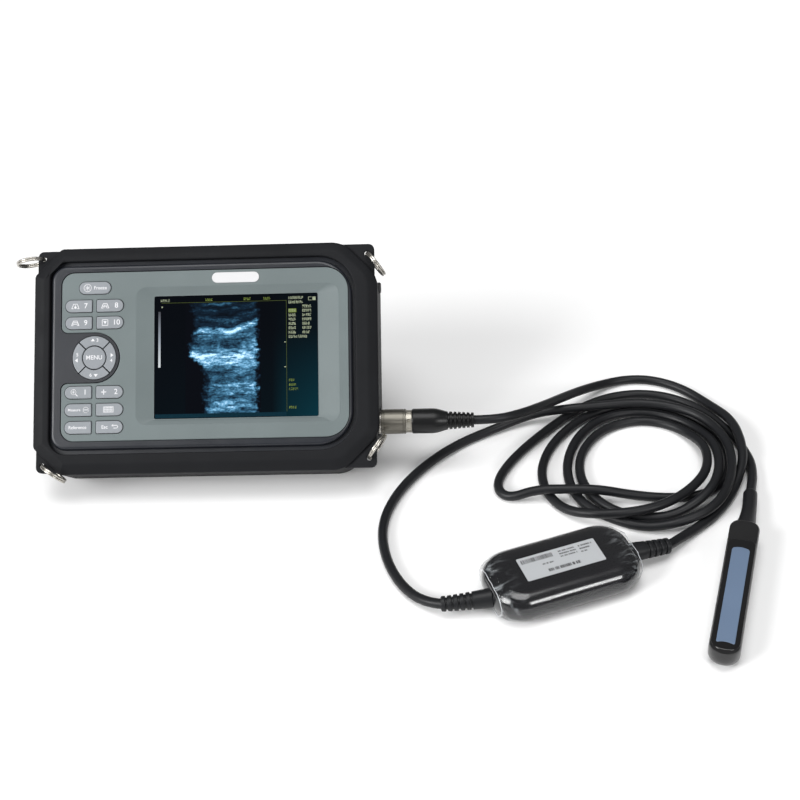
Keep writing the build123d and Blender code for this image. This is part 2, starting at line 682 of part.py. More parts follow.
def make_box_film():
    """The clear shrink sleeve round the box, open at both ends."""
    def tube(grow, length):
        section = RectangleRounded(BOX_W + 2 * grow, BOX_H + 2 * grow, BOX_EDGE_R + grow)
        sleeve = extrude(Plane.YZ.offset(-length / 2) * section, length)
        return Pos(0, 0, BOX_SPLIT) * sleeve

    return on_box(tube(FILM_GAP + FILM_THICK, FILM_L) - tube(FILM_GAP, FILM_L + 2))


def make_probe_housing():
    outline = Pos(PROBE_L / 2, 0) * RectangleRounded(PROBE_L, PROBE_W, 7.5)
    body = slab(outline, 0, PROBE_H)
    bottom = body.faces().sort_by(Axis.Z)[0].edges()
    body = fillet(bottom, 5.0)
    body = fillet(body.faces().sort_by(Axis.Z)[-1].edges(), 1.6)
    side = Pos(PROBE_L / 2, PROBE_H / 2) * Rectangle(PROBE_L, PROBE_H)
    side = fillet(side.vertices().sort_by(Axis.Y)[:2].sort_by(Axis.X)[-1:], PROBE_NOSE_R)
    body &= extrude(Plane.XZ * side, PROBE_W, both=True)
    inside = Pos(PROBE_L / 2 + 1, 0) * RectangleRounded(PROBE_L - 12, PROBE_W - 6, 4)
    body -= slab(inside, 5, PROBE_H - 4)
    body -= slab(probe_window_outline(0.1), PROBE_H - 5, PROBE_H + 1)
    body -= rod(CORD_R + 0.3, (-1, 0, PROBE_H / 2), (10, 0, PROBE_H / 2))
    return on_probe(body)


def probe_window_outline(gap):
    """The acoustic window: long sides straight, ends slightly bowed towards the nose."""
    x0, x1 = PROBE_WINDOW
    half = PROBE_WINDOW_W / 2
    bow = 1.6
    edge = ThreePointArc((x0, -half), (x0 - bow, 0), (x0, half)) + Line((x0, half), (x1, half))
    edge += ThreePointArc((x1, half), (x1 - bow, 0), (x1, -half)) + Line((x1, -half), (x0, -half))
    shape = fillet(make_face(edge).vertices(), 1.0)
    return offset(shape, gap) if gap else shape


def make_probe_window():
    return on_probe(slab(probe_window_outline(0), PROBE_H - 2.2, PROBE_H + 0.15))


def make_probe_array():
    x0, x1 = PROBE_WINDOW
    return on_probe(block((x0 + 2.5, x1 - 3.5, -4.5, 4.5), PROBE_H - 9, PROBE_H - 2.3))


def make_probe_boot():
    """The cord's boot: a sleeve that flares into the probe."""
    tip = Vector(*PROBE_CORD[-1])
    base = Vector(*PROBE_START, PROBE_H / 2)
    axis = base - tip
    length = axis.length - 0.05
    points = [(0, 0), (0, 4.4), (0.6, 4.9), (20, 5.0), (30, 5.6), (length, 6.8), (length, 0)]
    body = revolve(make_face(Polyline(*points, close=True)), Axis.X)
    plane = Plane(origin=tip, x_dir=axis, z_dir=axis.cross(Vector(1, 0, 0)).cross(axis))
    return plane.location * body


def all_parts():
    parts = {
        "rubber_bumper": console(make_bumper()),
        "front_bezel": console(make_front_bezel()),
        "front_panel": console(make_front_panel()),
        "name_badge": console(make_badge()),
        "display_window": console(make_display_window()),
        "display_module": console(make_display_module()),
        "keypad_board": console(make_keypad_board()),
        "main_board": console(make_main_board()),
        "rear_cover": console(make_rear_cover()),
        "case_screws": [console(s) for s in make_case_screws()],
        "battery_pack": console(make_battery_pack()),
        "battery_door": console(make_battery_door()),
        "battery_latch": console(make_battery_latch()),
        "kickstand": console(make_kickstand()),
        "kickstand_pin": console(make_kickstand_pin()),
        "power_button": console(make_power_button()),
        "probe_socket": console(make_socket()),
        "plug_core": console(make_plug_core()),
        "plug_sleeve": console(make_plug_sleeve()),
        "plug_ring": console(make_plug_ring()),
        "plug_body": console(make_plug_body()),
        "plug_relief": console(make_plug_relief()),
        "key_menu": console(make_menu_key()),
    }
    for name, centre, outline in plain_keys():
        parts[name] = console(make_plain_key(centre, outline))
    for name, turn in (("key_up", 0), ("key_left", 90), ("key_down", 180), ("key_right", 270)):
        parts[name] = console(make_pad_key(turn))
    for i, (x, y, direction) in enumerate(RINGS, start=1):
        parts[f"strap_ring_{i}"] = console(make_ring(x, y, direction))
    reliefs = box_reliefs()
    parts["inline_box_relief_probe"], parts["inline_box_relief_console"] = reliefs
    top = BOX_BASE + BOX_H + 1
    parts["inline_box_bottom"] = make_box_shell(BOX_BASE - 1, BOX_SPLIT - 0.05, reliefs)
    parts["inline_box_top"] = make_box_shell(BOX_SPLIT + 0.05, top, reliefs)
    parts["inline_box_screws"] = make_box_screws()
    parts["inline_box_board"] = make_box_board()
    parts["inline_box_label"] = make_box_label()
    parts["inline_box_film"] = make_box_film()
    parts["console_cord"] = make_cord("console_cord", CONSOLE_CORD)
    parts["probe_cord"] = make_cord("probe_cord", PROBE_CORD)
    parts["probe_boot"] = make_probe_boot()
    parts["probe_housing"] = make_probe_housing()
    parts["probe_window"] = make_probe_window()
    parts["probe_array"] = make_probe_array()
    return parts


def main():
    os.makedirs("parts", exist_ok=True)
    print("plug axis", round(PLUG_Y, 2), round(PLUG_Z, 2), "stand opens by", round(stand_angle(), 2))
    for name, shape in all_parts().items():
        solid = Compound(children=list(shape)) if isinstance(shape, list) else shape
        export_step(solid, f"parts/{name}.step")


main()
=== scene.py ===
import json
import random
from math import cos, pi, radians, sin, sqrt, tan

import bmesh
import bpy
from mathutils import Matrix, Vector


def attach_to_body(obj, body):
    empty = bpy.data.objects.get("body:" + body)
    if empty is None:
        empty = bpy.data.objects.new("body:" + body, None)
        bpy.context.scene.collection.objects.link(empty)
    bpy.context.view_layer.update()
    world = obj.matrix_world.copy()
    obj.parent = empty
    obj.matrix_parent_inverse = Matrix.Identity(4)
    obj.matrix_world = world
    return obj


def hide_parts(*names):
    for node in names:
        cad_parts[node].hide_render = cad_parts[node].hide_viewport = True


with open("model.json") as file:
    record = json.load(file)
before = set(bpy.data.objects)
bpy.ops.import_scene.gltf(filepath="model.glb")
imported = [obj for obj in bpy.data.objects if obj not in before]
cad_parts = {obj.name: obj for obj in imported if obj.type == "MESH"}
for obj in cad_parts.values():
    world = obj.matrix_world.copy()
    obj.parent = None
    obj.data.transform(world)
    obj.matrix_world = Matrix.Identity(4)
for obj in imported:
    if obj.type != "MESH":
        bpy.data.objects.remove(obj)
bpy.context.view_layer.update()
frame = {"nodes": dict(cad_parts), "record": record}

MM = 0.001
ROOT = "console_body"

# The bumper's half width and height, its depth, and the cut that it stands on
BUMPER_X, BUMPER_Y, BUMPER_DEPTH, FOOT_CUT = 121, 80, 44, 3

# The console's face frame: x right, y up the face, z out of it
LEAN = radians(45)
SLOPE = sin(LEAN)
FACE_Y = (BUMPER_Y - BUMPER_DEPTH) * SLOPE
FACE_Z = (BUMPER_Y + BUMPER_DEPTH - FOOT_CUT) * SLOPE
FACE = Matrix.Translation((0, FACE_Y * MM, FACE_Z * MM)) @ Matrix.Rotation(LEAN, 4, "X")
HERE = Matrix.Identity(4)

# A cord's radius, and its height on the floor and over another turn
CORD_R = 3.3
LOW = CORD_R
TOP = 11.0

# The probe socket's place on the console's right side, and the plug's axis in the room
SOCKET_Y = -45.5
SOCKET_Z = -20.0
PLUG_Y = FACE_Y + (SOCKET_Y - SOCKET_Z) * SLOPE
PLUG_Z = FACE_Z + (SOCKET_Y + SOCKET_Z) * SLOPE

CONSOLE_CORD = [
    (186, PLUG_Y, PLUG_Z), (202, PLUG_Y, PLUG_Z), (219, 16, 37), (235, 34, 29), (251, 56, 19),
    (267, 76, 10), (285, 91, 4), (304, 97, LOW), (323, 95, LOW), (343, 84, LOW), (360, 64, LOW),
    (372, 40, 9), (375, 15, TOP), (374, -7, 9), (364, -31, LOW), (351, -52, LOW), (335, -67, LOW),
    (322, -79, 5), (311, -91, 9),
]
PROBE_CORD = [
    (164, -140, 9), (152, -136, 6), (136, -117, LOW), (125, -90, LOW), (122, -60, LOW), (130, -31, LOW),
    (147, -3, LOW), (172, 23, LOW), (203, 42, LOW), (230, 52, 8), (254, 53, TOP), (279, 56, TOP),
    (305, 59, TOP), (331, 54, TOP), (352, 41, TOP), (365, 17, TOP), (366, -10, TOP), (359, -37, TOP),
    (345, -58, TOP), (322, -68, 8), (299, -67, LOW), (277, -57, LOW), (260, -43, LOW), (251, -20, LOW),
    (252, 7, LOW), (263, 34, LOW), (283, 53, LOW), (309, 58, LOW), (333, 50, LOW), (350, 32, 5),
    (357, 8, TOP), (356, -18, TOP), (345, -42, TOP), (321, -56, LOW), (298, -57, LOW), (279, -49, LOW),
    (265, -32, LOW), (259, -10, LOW), (263, 15, LOW), (279, 38, LOW), (304, 48, LOW), (327, 43, LOW),
    (343, 27, 5), (350, 5, TOP), (347, -19, TOP), (332, -39, TOP), (313, -53, TOP), (291, -60, TOP),
    (266, -60, 10), (246, -48, LOW), (234, -27, LOW), (233, -1, LOW), (245, 28, LOW), (268, 54, LOW),
    (297, 66, LOW), (325, 63, LOW), (349, 49, LOW), (363, 26, LOW), (366, 0, LOW), (359, -21, LOW),
    (345, -35, LOW), (319, -38, LOW), (294, -37, 6), (271, -36, TOP), (249, -35, TOP), (228, -34, 10),
    (210, -35, LOW), (202, -27, LOW), (203, -13, LOW), (215, 9, LOW), (238, 37, LOW), (264, 63, LOW),
    (290, 77, LOW), (318, 79, LOW), (344, 68, LOW), (363, 46, LOW), (376, 19, LOW), (382, -10, LOW),
    (374, -37, 6.5),
]

# ---- camera


def new_object(name, data):
    obj = bpy.data.objects.new(name, data)
    bpy.context.scene.collection.objects.link(obj)
    return obj


def add_camera():
    data = bpy.data.cameras.new("camera")
    data.lens = 67.5
    data.sensor_width = 36.0
    camera = new_object("camera", data)
    camera.location = (0.1846, -0.8076, 0.7016)
    camera.rotation_euler = [radians(angle) for angle in (51.72, 2.61, 1.39)]
    bpy.context.scene.camera = camera


# ---- materials


class Nodes:
    """A material's node tree, with short calls for what the materials here use."""

    def __init__(self, name):
        self.material = bpy.data.materials.new(name)
        self.material.use_nodes = True
        self.tree = self.material.node_tree
        self.shader = self.tree.nodes["Principled BSDF"]
        self.coords = self.add("ShaderNodeTexCoord").outputs["Object"]

    def add(self, kind, inputs=()):
        node = self.tree.nodes.new(kind)
        for socket, value in dict(inputs).items():
            node.inputs[socket].default_value = value
        return node

    def link(self, source, target):
        self.tree.links.new(source, target)

    def put(self, socket, value):
        self.shader.inputs[socket].default_value = value

    def scaled(self, scale):
        mapping = self.add("ShaderNodeMapping", {"Scale": scale})
        self.link(self.coords, mapping.inputs["Vector"])
        return mapping.outputs["Vector"]

    def noise(self, scale, detail=3.0, rough=0.5, stretch=(1, 1, 1), distortion=0.0):
        inputs = {"Scale": scale, "Detail": detail, "Roughness": rough, "Distortion": distortion}
        node = self.add("ShaderNodeTexNoise", inputs)
        self.link(self.scaled(stretch), node.inputs["Vector"])
        return node.outputs["Fac"]

    def remap(self, value, low, high, to_low, to_high):
        inputs = {"From Min": low, "From Max": high, "To Min": to_low, "To Max": to_high}
        node = self.add("ShaderNodeMapRange", inputs)
        self.link(value, node.inputs["Value"])
        return node.outputs["Result"]

    def ramp(self, value, stops):
        node = self.add("ShaderNodeValToRGB")
        elements = node.color_ramp.elements
        while len(elements) < len(stops):
            elements.new(0.5)
        for element, (place, color) in zip(elements, stops):
            element.position = place
            element.color = (*color, 1)
        self.link(value, node.inputs["Fac"])
        return node.outputs["Color"]

    def drive(self, source, socket):
        self.link(source, self.shader.inputs[socket])

    def color(self, value, dark, light):
        self.drive(self.ramp(value, [(0.3, dark), (0.7, light)]), "Base Color")

    def rough(self, value, low, high):
        self.drive(self.remap(value, 0.3, 0.7, low, high), "Roughness")

    def bump(self, value, depth, strength=1.0):
        """depth is in metres."""
        node = self.add("ShaderNodeBump", {"Distance": depth, "Strength": strength})
        self.link(value, node.inputs["Height"])
        self.drive(node.outputs["Normal"], "Normal")

    def places(self):
        """The x and y of a point of the object."""
        split = self.add("ShaderNodeSeparateXYZ")
        self.link(self.coords, split.inputs["Vector"])
        return split.outputs["X"], split.outputs["Y"]

    def combine(self, operation, *values):
        total = values[0]
        for value in values[1:]:
            node = self.add("ShaderNodeMath")
            node.operation = operation
            self.link(total, node.inputs[0])
            self.link(value, node.inputs[1])
            total = node.outputs["Value"]
        return total

    def multiply(self, *values):
        return self.combine("MULTIPLY", *values)

    def add_up(self, *values):
        return self.combine("ADD", *values)


def shade(color, factor):
    return tuple(min(1.0, c * factor) for c in color)


def moulded(name, color, rough, grain, depth, spread=0.12, specular=0.5, coat=0.0):
    """Moulded rubber or plastic: a fine grain, and a little unevenness of tone and gloss."""
    m = Nodes(name)
    broad = m.noise(22, 2)
    fine = m.noise(grain, 4, 0.6)
    m.color(broad, shade(color, 1 - spread), shade(color, 1 + spread))
    m.rough(m.noise(60, 3), rough - 0.05, rough + 0.05)
    m.bump(fine, depth)
    m.put("Specular IOR Level", specular)
    m.put("Coat Weight", coat)
    m.put("Coat Roughness", 0.1)
    return m.material


def brushed(name, color, rough, stretch):
    """Metal with fine lines along its direction of machining."""
    m = Nodes(name)
    lines = m.noise(900, 3, 0.6, (stretch, 1, 1))
    m.color(lines, shade(color, 0.82), shade(color, 1.12))
    m.rough(lines, rough - 0.08, rough + 0.1)
    m.bump(lines, 0.00002)
    m.put("Metallic", 1.0)
    return m.material


def clear_film():
    """Shrink film: clear over the middle; near its two ends the creases carry a painted sheen, pale colour
    standing for light caught on them.
    """
    m = Nodes("clear_film")
    x, _ = m.places()
    clear_to, creased_from = 0.030, 0.048
    ends = m.remap(m.multiply(x, x), clear_to ** 2, creased_from ** 2, 0, 1)
    drawn = (0.6, 1.5, 1.5)
    creases = m.remap(m.noise(90, 4, 0.6, drawn, 1.5), 0.50, 0.66, 0, 1)
    # The crease pattern is real, but its pale colour and extra opacity are a painted highlight of light on
    # the creases
    painted_crease_sheen = m.multiply(ends, creases)
    m.drive(m.ramp(painted_crease_sheen, [(0.0, (0.012, 0.012, 0.014)), (1.0, (0.45, 0.48, 0.50))]), "Base Color")
    m.drive(m.remap(painted_crease_sheen, 0, 1, 0.16, 0.55), "Alpha")
    m.bump(m.noise(110, 1, 0.4, drawn, 1.2), 0.0006, 0.3)
    m.put("Roughness", 0.09)
    return m.material


def film_rim():
    """The film's cut edge, painted pale as a highlight of light caught along it."""
    m = Nodes("film_edge")
    # The pale colour is a painted highlight, not a colour of the film
    m.put("Base Color", (0.8, 0.83, 0.86, 1))
    m.put("Roughness", 0.15)
    m.put("Alpha", 0.5)
    m.bump(m.noise(1200, 3), 0.00004)
    return m.material


def plain_glass():
    m = Nodes("screen_glass")
    m.color(m.noise(30, 2), (0.004, 0.005, 0.009), (0.006, 0.008, 0.014))
    m.put("Roughness", 0.12)
    return m.material


# Colour, roughness, scale and depth of the grain, and then spread of tone, specular level and coat
MOULDED = {
    "bumper_rubber": ((0.0075, 0.008, 0.0095), 0.6, 2600, 0.00003, 0.12, 0.15),
    "bezel_plastic": ((0.0115, 0.0135, 0.0185), 0.37, 3200, 0.00001),
    "panel_plastic": ((0.132, 0.159, 0.161), 0.40, 3800, 6e-6, 0.05, 0.3),
    "badge_plastic": ((0.60, 0.60, 0.61), 0.32, 2400, 4e-6, 0.02),
    "key_silicone": ((0.222, 0.238, 0.256), 0.5, 3000, 8e-6, 0.05, 0.4),
    "legend_ink": ((0.66, 0.66, 0.68), 0.45, 2400, 2e-6, 0.02),
    "button_rubber": ((0.02, 0.02, 0.022), 0.5, 3000, 0.00001),
    "plug_black": ((0.004, 0.0042, 0.0045), 0.34, 2600, 12e-6, 0.12, 0.3),
    "cord_rubber": ((0.007, 0.0075, 0.009), 0.44, 1500, 0.00002, 0.12, 0.3),
    "box_plastic": ((0.006, 0.0065, 0.008), 0.2, 700, 4e-6, 0.12, 0.5, 1.0),
    "label_paper": ((0.58, 0.60, 0.62), 0.45, 1500, 6e-6, 0.02),
    "label_ink": ((0.10, 0.10, 0.105), 0.5, 2400, 2e-6, 0.3),
    "probe_plastic": ((0.010, 0.010, 0.0105), 0.3, 1800, 4e-6),
    "probe_gloss": ((0.006, 0.006, 0.0065), 0.14, 900, 3e-6),
    "probe_lens": ((0.115, 0.165, 0.250), 0.38, 1600, 6e-6, 0.04),
    "probe_ceramic": ((0.5, 0.47, 0.4), 0.6, 900, 0.00001),
    "circuit_board": ((0.02, 0.12, 0.05), 0.35, 900, 0.00001),
    "battery_plastic": ((0.03, 0.05, 0.09), 0.4, 1800, 0.00001),
}

# Colour, roughness and how far the lines are drawn out
BRUSHED = {
    "display_metal": ((0.6, 0.61, 0.62), 0.35, 0.05),
    "steel": ((0.55, 0.56, 0.57), 0.3, 0.05),
    "nickel": ((0.50, 0.48, 0.44), 0.26, 0.03),
    "dark_nickel": ((0.19, 0.18, 0.155), 0.42, 0.03),
    "satin_nickel": ((0.42, 0.40, 0.35), 0.42, 0.03),
}


def make_materials():
    mats = {name: moulded(name, *facts) for name, facts in MOULDED.items()}
    mats.update({name: brushed(name, *facts) for name, facts in BRUSHED.items()})
    mats.update(screen_glass=plain_glass(), clear_film=clear_film(), film_edge=film_rim())
    return mats


# ---- meshes


def edit_mesh(mesh, change):
    work = bmesh.new()
    work.from_mesh(mesh)
    change(work)
    work.to_mesh(mesh)
    work.free()


def add_mesh(name, verts, faces, place=HERE, smooth=True):
    """A mesh object from millimetre points."""
    mesh = bpy.data.meshes.new(name)
    mesh.from_pydata([Vector(v) * MM for v in verts], [], faces)
    mesh.validate()
    edit_mesh(mesh, lambda work: bmesh.ops.recalc_face_normals(work, faces=work.faces))
    mesh.shade_smooth() if smooth else mesh.shade_flat()
    obj = new_object(name, mesh)
    obj.matrix_world = place
    return obj


def attach(obj, slot, body=ROOT, stands_for=(), finish=None):
    """Rides on the body, and takes the slot's material, or the one named as its finish."""
    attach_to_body(obj, body)
    obj.data.materials.clear()
    obj.data.materials.append(MATERIALS[finish or slot])
    if stands_for:
        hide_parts(*stands_for)
    return obj


def ring_faces(count, size, closed=False):
    """Quads between count rings of size points each, and between the last and the first if closed."""
    faces = []
    for i in range(count if closed else count - 1):
        a, b = i * size, (i + 1) % count * size
        for j in range(size):
            k = (j + 1) % size
            faces.append((a + j, a + k, b + k, b + j))
    return faces


def end_faces(count, size):
    return [tuple(range(size)), tuple(range((count - 1) * size, count * size))]


def loft(name, rings, place=HERE, cap=True, closed=False):
    """A skin over rings of points: capped at both ends, open, or closed from the last ring to the first."""
    count, size = len(rings), len(rings[0])
    faces = ring_faces(count, size, closed)
    if cap and not closed:
        faces += end_faces(count, size)
    return add_mesh(name, [p for ring in rings for p in ring], faces, place)


def smooth_by_angle(obj, degrees):
    """Marks the edges that stay crisp."""
    def mark(work):
        for edge in work.edges:
            if len(edge.link_faces) == 2:
                edge.smooth = edge.calc_face_angle(0) < radians(degrees)

    edit_mesh(obj.data, mark)
    return obj


# ---- cords


def add_cord(name, route, stands_for, **facts):
    curve = bpy.data.curves.new(name, "CURVE")
    curve.dimensions = "3D"
    spline = curve.splines.new("NURBS")
    spline.points.add(len(route) - 1)
    for point, place in zip(spline.points, route):
        point.co = (*(Vector(place) * MM), 1)
        point.radius = CORD_R * MM
    spline.order_u = 3
    spline.use_endpoint_u = True
    spline.resolution_u = 10
    curve.bevel_depth = 1.0
    curve.bevel_resolution = 7
    curve.use_fill_caps = True
    obj = attach(new_object(name, curve), "cord_rubber", stands_for=stands_for)


# ---- shapes


# Steps round a softened corner, and the cut per radius that makes two of them a quarter circle
CORNER_STEPS = 7
CUT = 2 - sqrt(2)


def outline(x0, x1, y0, y1, left, right):
    """A rectangle with cut, softened corners, anticlockwise; left and right are each side's (cut, radius)."""
    (cl, rl), (cr, rr) = left, right
    corners = [
        (x0 + cl, y0, rl), (x1 - cr, y0, rr), (x1, y0 + cr, rr), (x1, y1 - cr, rr),
        (x1 - cr, y1, rr), (x0 + cl, y1, rl), (x0, y1 - cl, rl), (x0, y0 + cl, rl),
    ]
    points = []
    for i, (x, y, radius) in enumerate(corners):
        here = Vector((x, y))
        back = (Vector(corners[i - 1][:2]) - here).normalized()
        ahead = (Vector(corners[(i + 1) % 8][:2]) - here).normalized()
        reach = radius * tan(radians(22.5))
        normal = Vector((-back.y, back.x))
        if normal.dot(ahead) < 0:
            normal = -normal
        centre = here + back * reach + normal * radius
        start = here + back * reach - centre
        for k in range(CORNER_STEPS + 1):
            turn = radians(45) * k / CORNER_STEPS
            c, s = cos(turn), sin(turn)
            points.append((centre.x + start.x * c - start.y * s, centre.y + start.x * s + start.y * c))
    return points


def round_corner(radius):
    """The (cut, radius) of a plain rounded corner."""
    return (radius * CUT, radius)


# The (cut, radius) of the bumper's left and right corners
BUMPER_LEFT, BUMPER_RIGHT = (19, 5), (24, 20)


def bumper_ring(inset):
    corners = (BUMPER_LEFT, BUMPER_RIGHT)
    left, right = ((cut - inset * CUT, max(radius - inset, 0.6)) for cut, radius in corners)
    x, y = BUMPER_X - inset, BUMPER_Y - inset
    return outline(-x, x, -y, y, left, right)


def plate_ring(bounds, left, right, grow=0.0):
    """A plate's outline, with the radii of its left and right corners."""
    x0, x1, y0, y1 = bounds
    left, right = round_corner(left + grow), round_corner(right + grow)
    return outline(x0 - grow, x1 + grow, y0 - grow, y1 + grow, left, right)


def at_height(points, z):
    return [(x, y, z) for x, y in points]


def frames_along(path):
    """A point, direction and two normals at each point of a path, without twist."""
    path = [Vector(p) for p in path]
    dirs = []
    for i in range(len(path)):
        a, b = path[max(i - 1, 0)], path[min(i + 1, len(path) - 1)]
        dirs.append((b - a).normalized())
    side = dirs[0].orthogonal().normalized()
    out = []
    for point, ahead in zip(path, dirs):
        side = (side - ahead * side.dot(ahead)).normalized()
        out.append((point, ahead, side, ahead.cross(side)))
    return out


def tube_rings(path, radii, sides):
    rings = []
    for (point, _, u, v), radius in zip(frames_along(path), radii):
        ring = []
        for k in range(sides):
            turn = 2 * pi * k / sides
            ring.append(tuple(point + (u * cos(turn) + v * sin(turn)) * radius))
        rings.append(ring)
    return rings


def add_modifier(obj, kind, **values):
    modifier = obj.modifiers.new(kind.lower(), kind)
    for key, value in values.items():
        setattr(modifier, key, value)


def apply_modifiers(obj):
    bpy.context.view_layer.update()
    graph = bpy.context.evaluated_depsgraph_get()
    old = obj.data
    obj.data = bpy.data.meshes.new_from_object(obj.evaluated_get(graph))
    obj.modifiers.clear()
    bpy.data.meshes.remove(old)


def cut_away(obj, *cutters):
    for cutter in cutters:
        add_modifier(obj, "BOOLEAN", operation="DIFFERENCE", solver="EXACT", object=cutter)
    apply_modifiers(obj)
    for cutter in cutters:
        bpy.data.objects.remove(cutter)


def soften(obj, width, segments=2, degrees=30):
    add_modifier(obj, "BEVEL", width=width * MM, segments=segments, limit_method="ANGLE",
                 angle_limit=radians(degrees), harden_normals=False)
    return obj


def even_normals(obj):
    add_modifier(obj, "WEIGHTED_NORMAL", keep_sharp=True)
    return obj


def skin(name, rings, degrees, place=HERE, closed=False):
    """A loft with an even shine, whose edges sharper than degrees stay crisp."""
    return even_normals(smooth_by_angle(loft(name, rings, place, closed=closed), degrees))


def round_bar(start, end, radius, sides=48):
    return loft("bar", tube_rings([start, end], [radius, radius], sides), FACE)


# ---- console


OPENING, OPENING_LEFT, OPENING_RIGHT = (-109.3, 105.4, -66.0, 70.0), 12, 26
REAR_OPENING, REAR_CORNER = (-94.3, 92.3, -62.8, 60.8), 11.8
SOCKET_HOLE = 10.2
BUTTON_Y, BUTTON_Z, BUTTON_HOLE = 49.8, -20, 4.4

# How far in from the bumper's outside its skin is at each depth, and how far out from the opening
OUTSIDE = (
    (3.4, -44.0), (2.95, -43.9), (0.25, -41.2), (0.02, -40.7), (0, -39.8), (0, -4.6), (0.08, -3.9),
    (0.35, -3.3), (0.9, -2.85), (2.0, -2.3), (3.6, -1.5), (5.4, -0.65), (6.4, -0.28), (7.3, -0.07), (8.2, 0),
)
LIP = ((1.2, 0.0), (0.6, -0.08), (0.2, -0.35), (0.02, -0.8), (0, -1.4), (0, -5.0))
REAR_LIP = ((0.0, -40.0), (0.0, -43.3), (0.25, -43.8), (0.8, -44.0))
LINING, LINING_Z = 5.0, (-5.0, -40.0)

# The side and end that a tab is on, and its ring's hole and resting direction
TABS = (
    (-1, 1, -115.0, 73.2, 190.0), (1, 1, 113.8, 72.0, -52.0),
    (1, -1, 113.8, -72.0, 55.0), (-1, -1, -115.0, -73.2, -35.0),
)
TAB_X, TAB_Y, TAB_ROUND, TAB_OVERLAP = 119.0, 78.5, 4.0, 3
TAB_LOW, TAB_HIGH, TAB_HOLE = -8.6, -4.7, 1.8


def make_bumper():
    """One closed skin: round the outside, over the lip, down inside it and back along the case."""
    rings = [at_height(plate_ring(REAR_OPENING, REAR_CORNER, REAR_CORNER, grow), z) for grow, z in REAR_LIP]
    rings += [at_height(bumper_ring(inset), z) for inset, z in OUTSIDE]
    rings += [at_height(plate_ring(OPENING, OPENING_LEFT, OPENING_RIGHT, grow), z) for grow, z in LIP]
    rings += [at_height(bumper_ring(LINING), z) for z in LINING_Z]
    body = loft("bumper", rings, FACE, closed=True)
    inside, outside = 110, 123
    cut_away(body, round_bar((inside, SOCKET_Y, SOCKET_Z), (outside, SOCKET_Y, SOCKET_Z), SOCKET_HOLE),
             round_bar((inside, BUTTON_Y, BUTTON_Z), (outside, BUTTON_Y, BUTTON_Z), BUTTON_HOLE, 32))
    even_normals(smooth_by_angle(body, 40))
    attach(body, "bumper_rubber", stands_for=["rubber_bumper"])
    for number, facts in enumerate(TABS, start=1):
        make_tab(f"strap_tab_{number}", *facts[:4])


def make_tab(name, side, end, hole_x, hole_y):
    """A flat tab that fills a cut corner of the bumper, with a hole for its ring."""
    cut = (BUMPER_LEFT if side < 0 else BUMPER_RIGHT)[0]
    near_x = BUMPER_X - cut + (BUMPER_Y - TAB_Y) - TAB_OVERLAP
    near_y = BUMPER_Y - cut + (BUMPER_X - TAB_X) - TAB_OVERLAP
    corner = arc(TAB_X - TAB_ROUND, TAB_Y - TAB_ROUND, TAB_ROUND, 90, 0, 8)
    points = [(side * x, end * y) for x, y in [(near_x, TAB_Y), *corner, (TAB_X, near_y)]]
    tab = loft(name, [at_height(points, TAB_LOW), at_height(points, TAB_HIGH)], FACE)
    cut_away(tab, round_bar((hole_x, hole_y, -12), (hole_x, hole_y, 0), TAB_HOLE, 28))
    smooth_by_angle(tab, 40)
    soften(tab, 0.45, 3, 50)
    attach(even_normals(tab), "bumper_rubber")


PANEL_TOP = -1.4
RECESS, RECESS_CORNER = (-48.3, 94.0, -46.3, 50.6), 7
WINDOW, WINDOW_CORNER = (-36.5, 79.5, -42.6, 45.0), 1.7
RECESS_UNDER = 3.2


def make_surround():
    """The panel's recess as one sloped frame, from its crisp outer edge down to the screen."""
    window = plate_ring(WINDOW, WINDOW_CORNER, WINDOW_CORNER)
    corner = RECESS_CORNER
    edge, wider, widest = (plate_ring(RECESS, corner, corner, grow) for grow in (0.1, 0.25, 0.3))
    rings = [at_height(widest, PANEL_TOP - 0.5), at_height(wider, PANEL_TOP + 0.06)]
    slope = ((0.0, -0.06), (0.02, 0.0), (0.05, 0.08), (0.3, 0.84), (0.65, 1.90), (0.95, 2.72), (1.0, 2.8))
    for share, drop in slope:
        ring = [tuple(Vector(a).lerp(Vector(b), share)) for a, b in zip(edge, window)]
        rings.append(at_height(ring, PANEL_TOP - drop))
    rings += [at_height(window, PANEL_TOP - RECESS_UNDER), at_height(edge, PANEL_TOP - RECESS_UNDER)]
    attach(skin("screen_surround", rings, 50, FACE, closed=True), "panel_plastic")


RING_R, RING_WIRE, RING_HALF, RING_Z = 9.6, 0.78, 0.72, -6


def make_ring(number, hole_x, hole_y, direction):
    """A split ring: two coils of wire side by side, crossing over on the far side from the hole."""
    path = []
    steps, turns = 150, 2 * 0.985
    cross_start, cross_share = 0.40, 0.2
    for i in range(steps + 1):
        share = i / steps
        turn = pi + 2 * pi * turns * share
        cross = min(max((share - cross_start) / cross_share, 0), 1)
        side = -RING_HALF + 2 * RING_HALF * (cross * cross * (3 - 2 * cross))
        path.append((RING_R + RING_R * cos(turn), side, RING_R * sin(turn)))
    hole = Matrix.Translation(Vector((hole_x, hole_y, RING_Z)) * MM)
    place = FACE @ hole @ Matrix.Rotation(radians(direction), 4, "Z")
    rings = tube_rings(path, [RING_WIRE] * len(path), 14)
    ring = smooth_by_angle(loft(f"split_ring_{number}", rings, place), 50)
    attach(ring, "nickel", f"strap_ring_{number}_body", [f"strap_ring_{number}"])


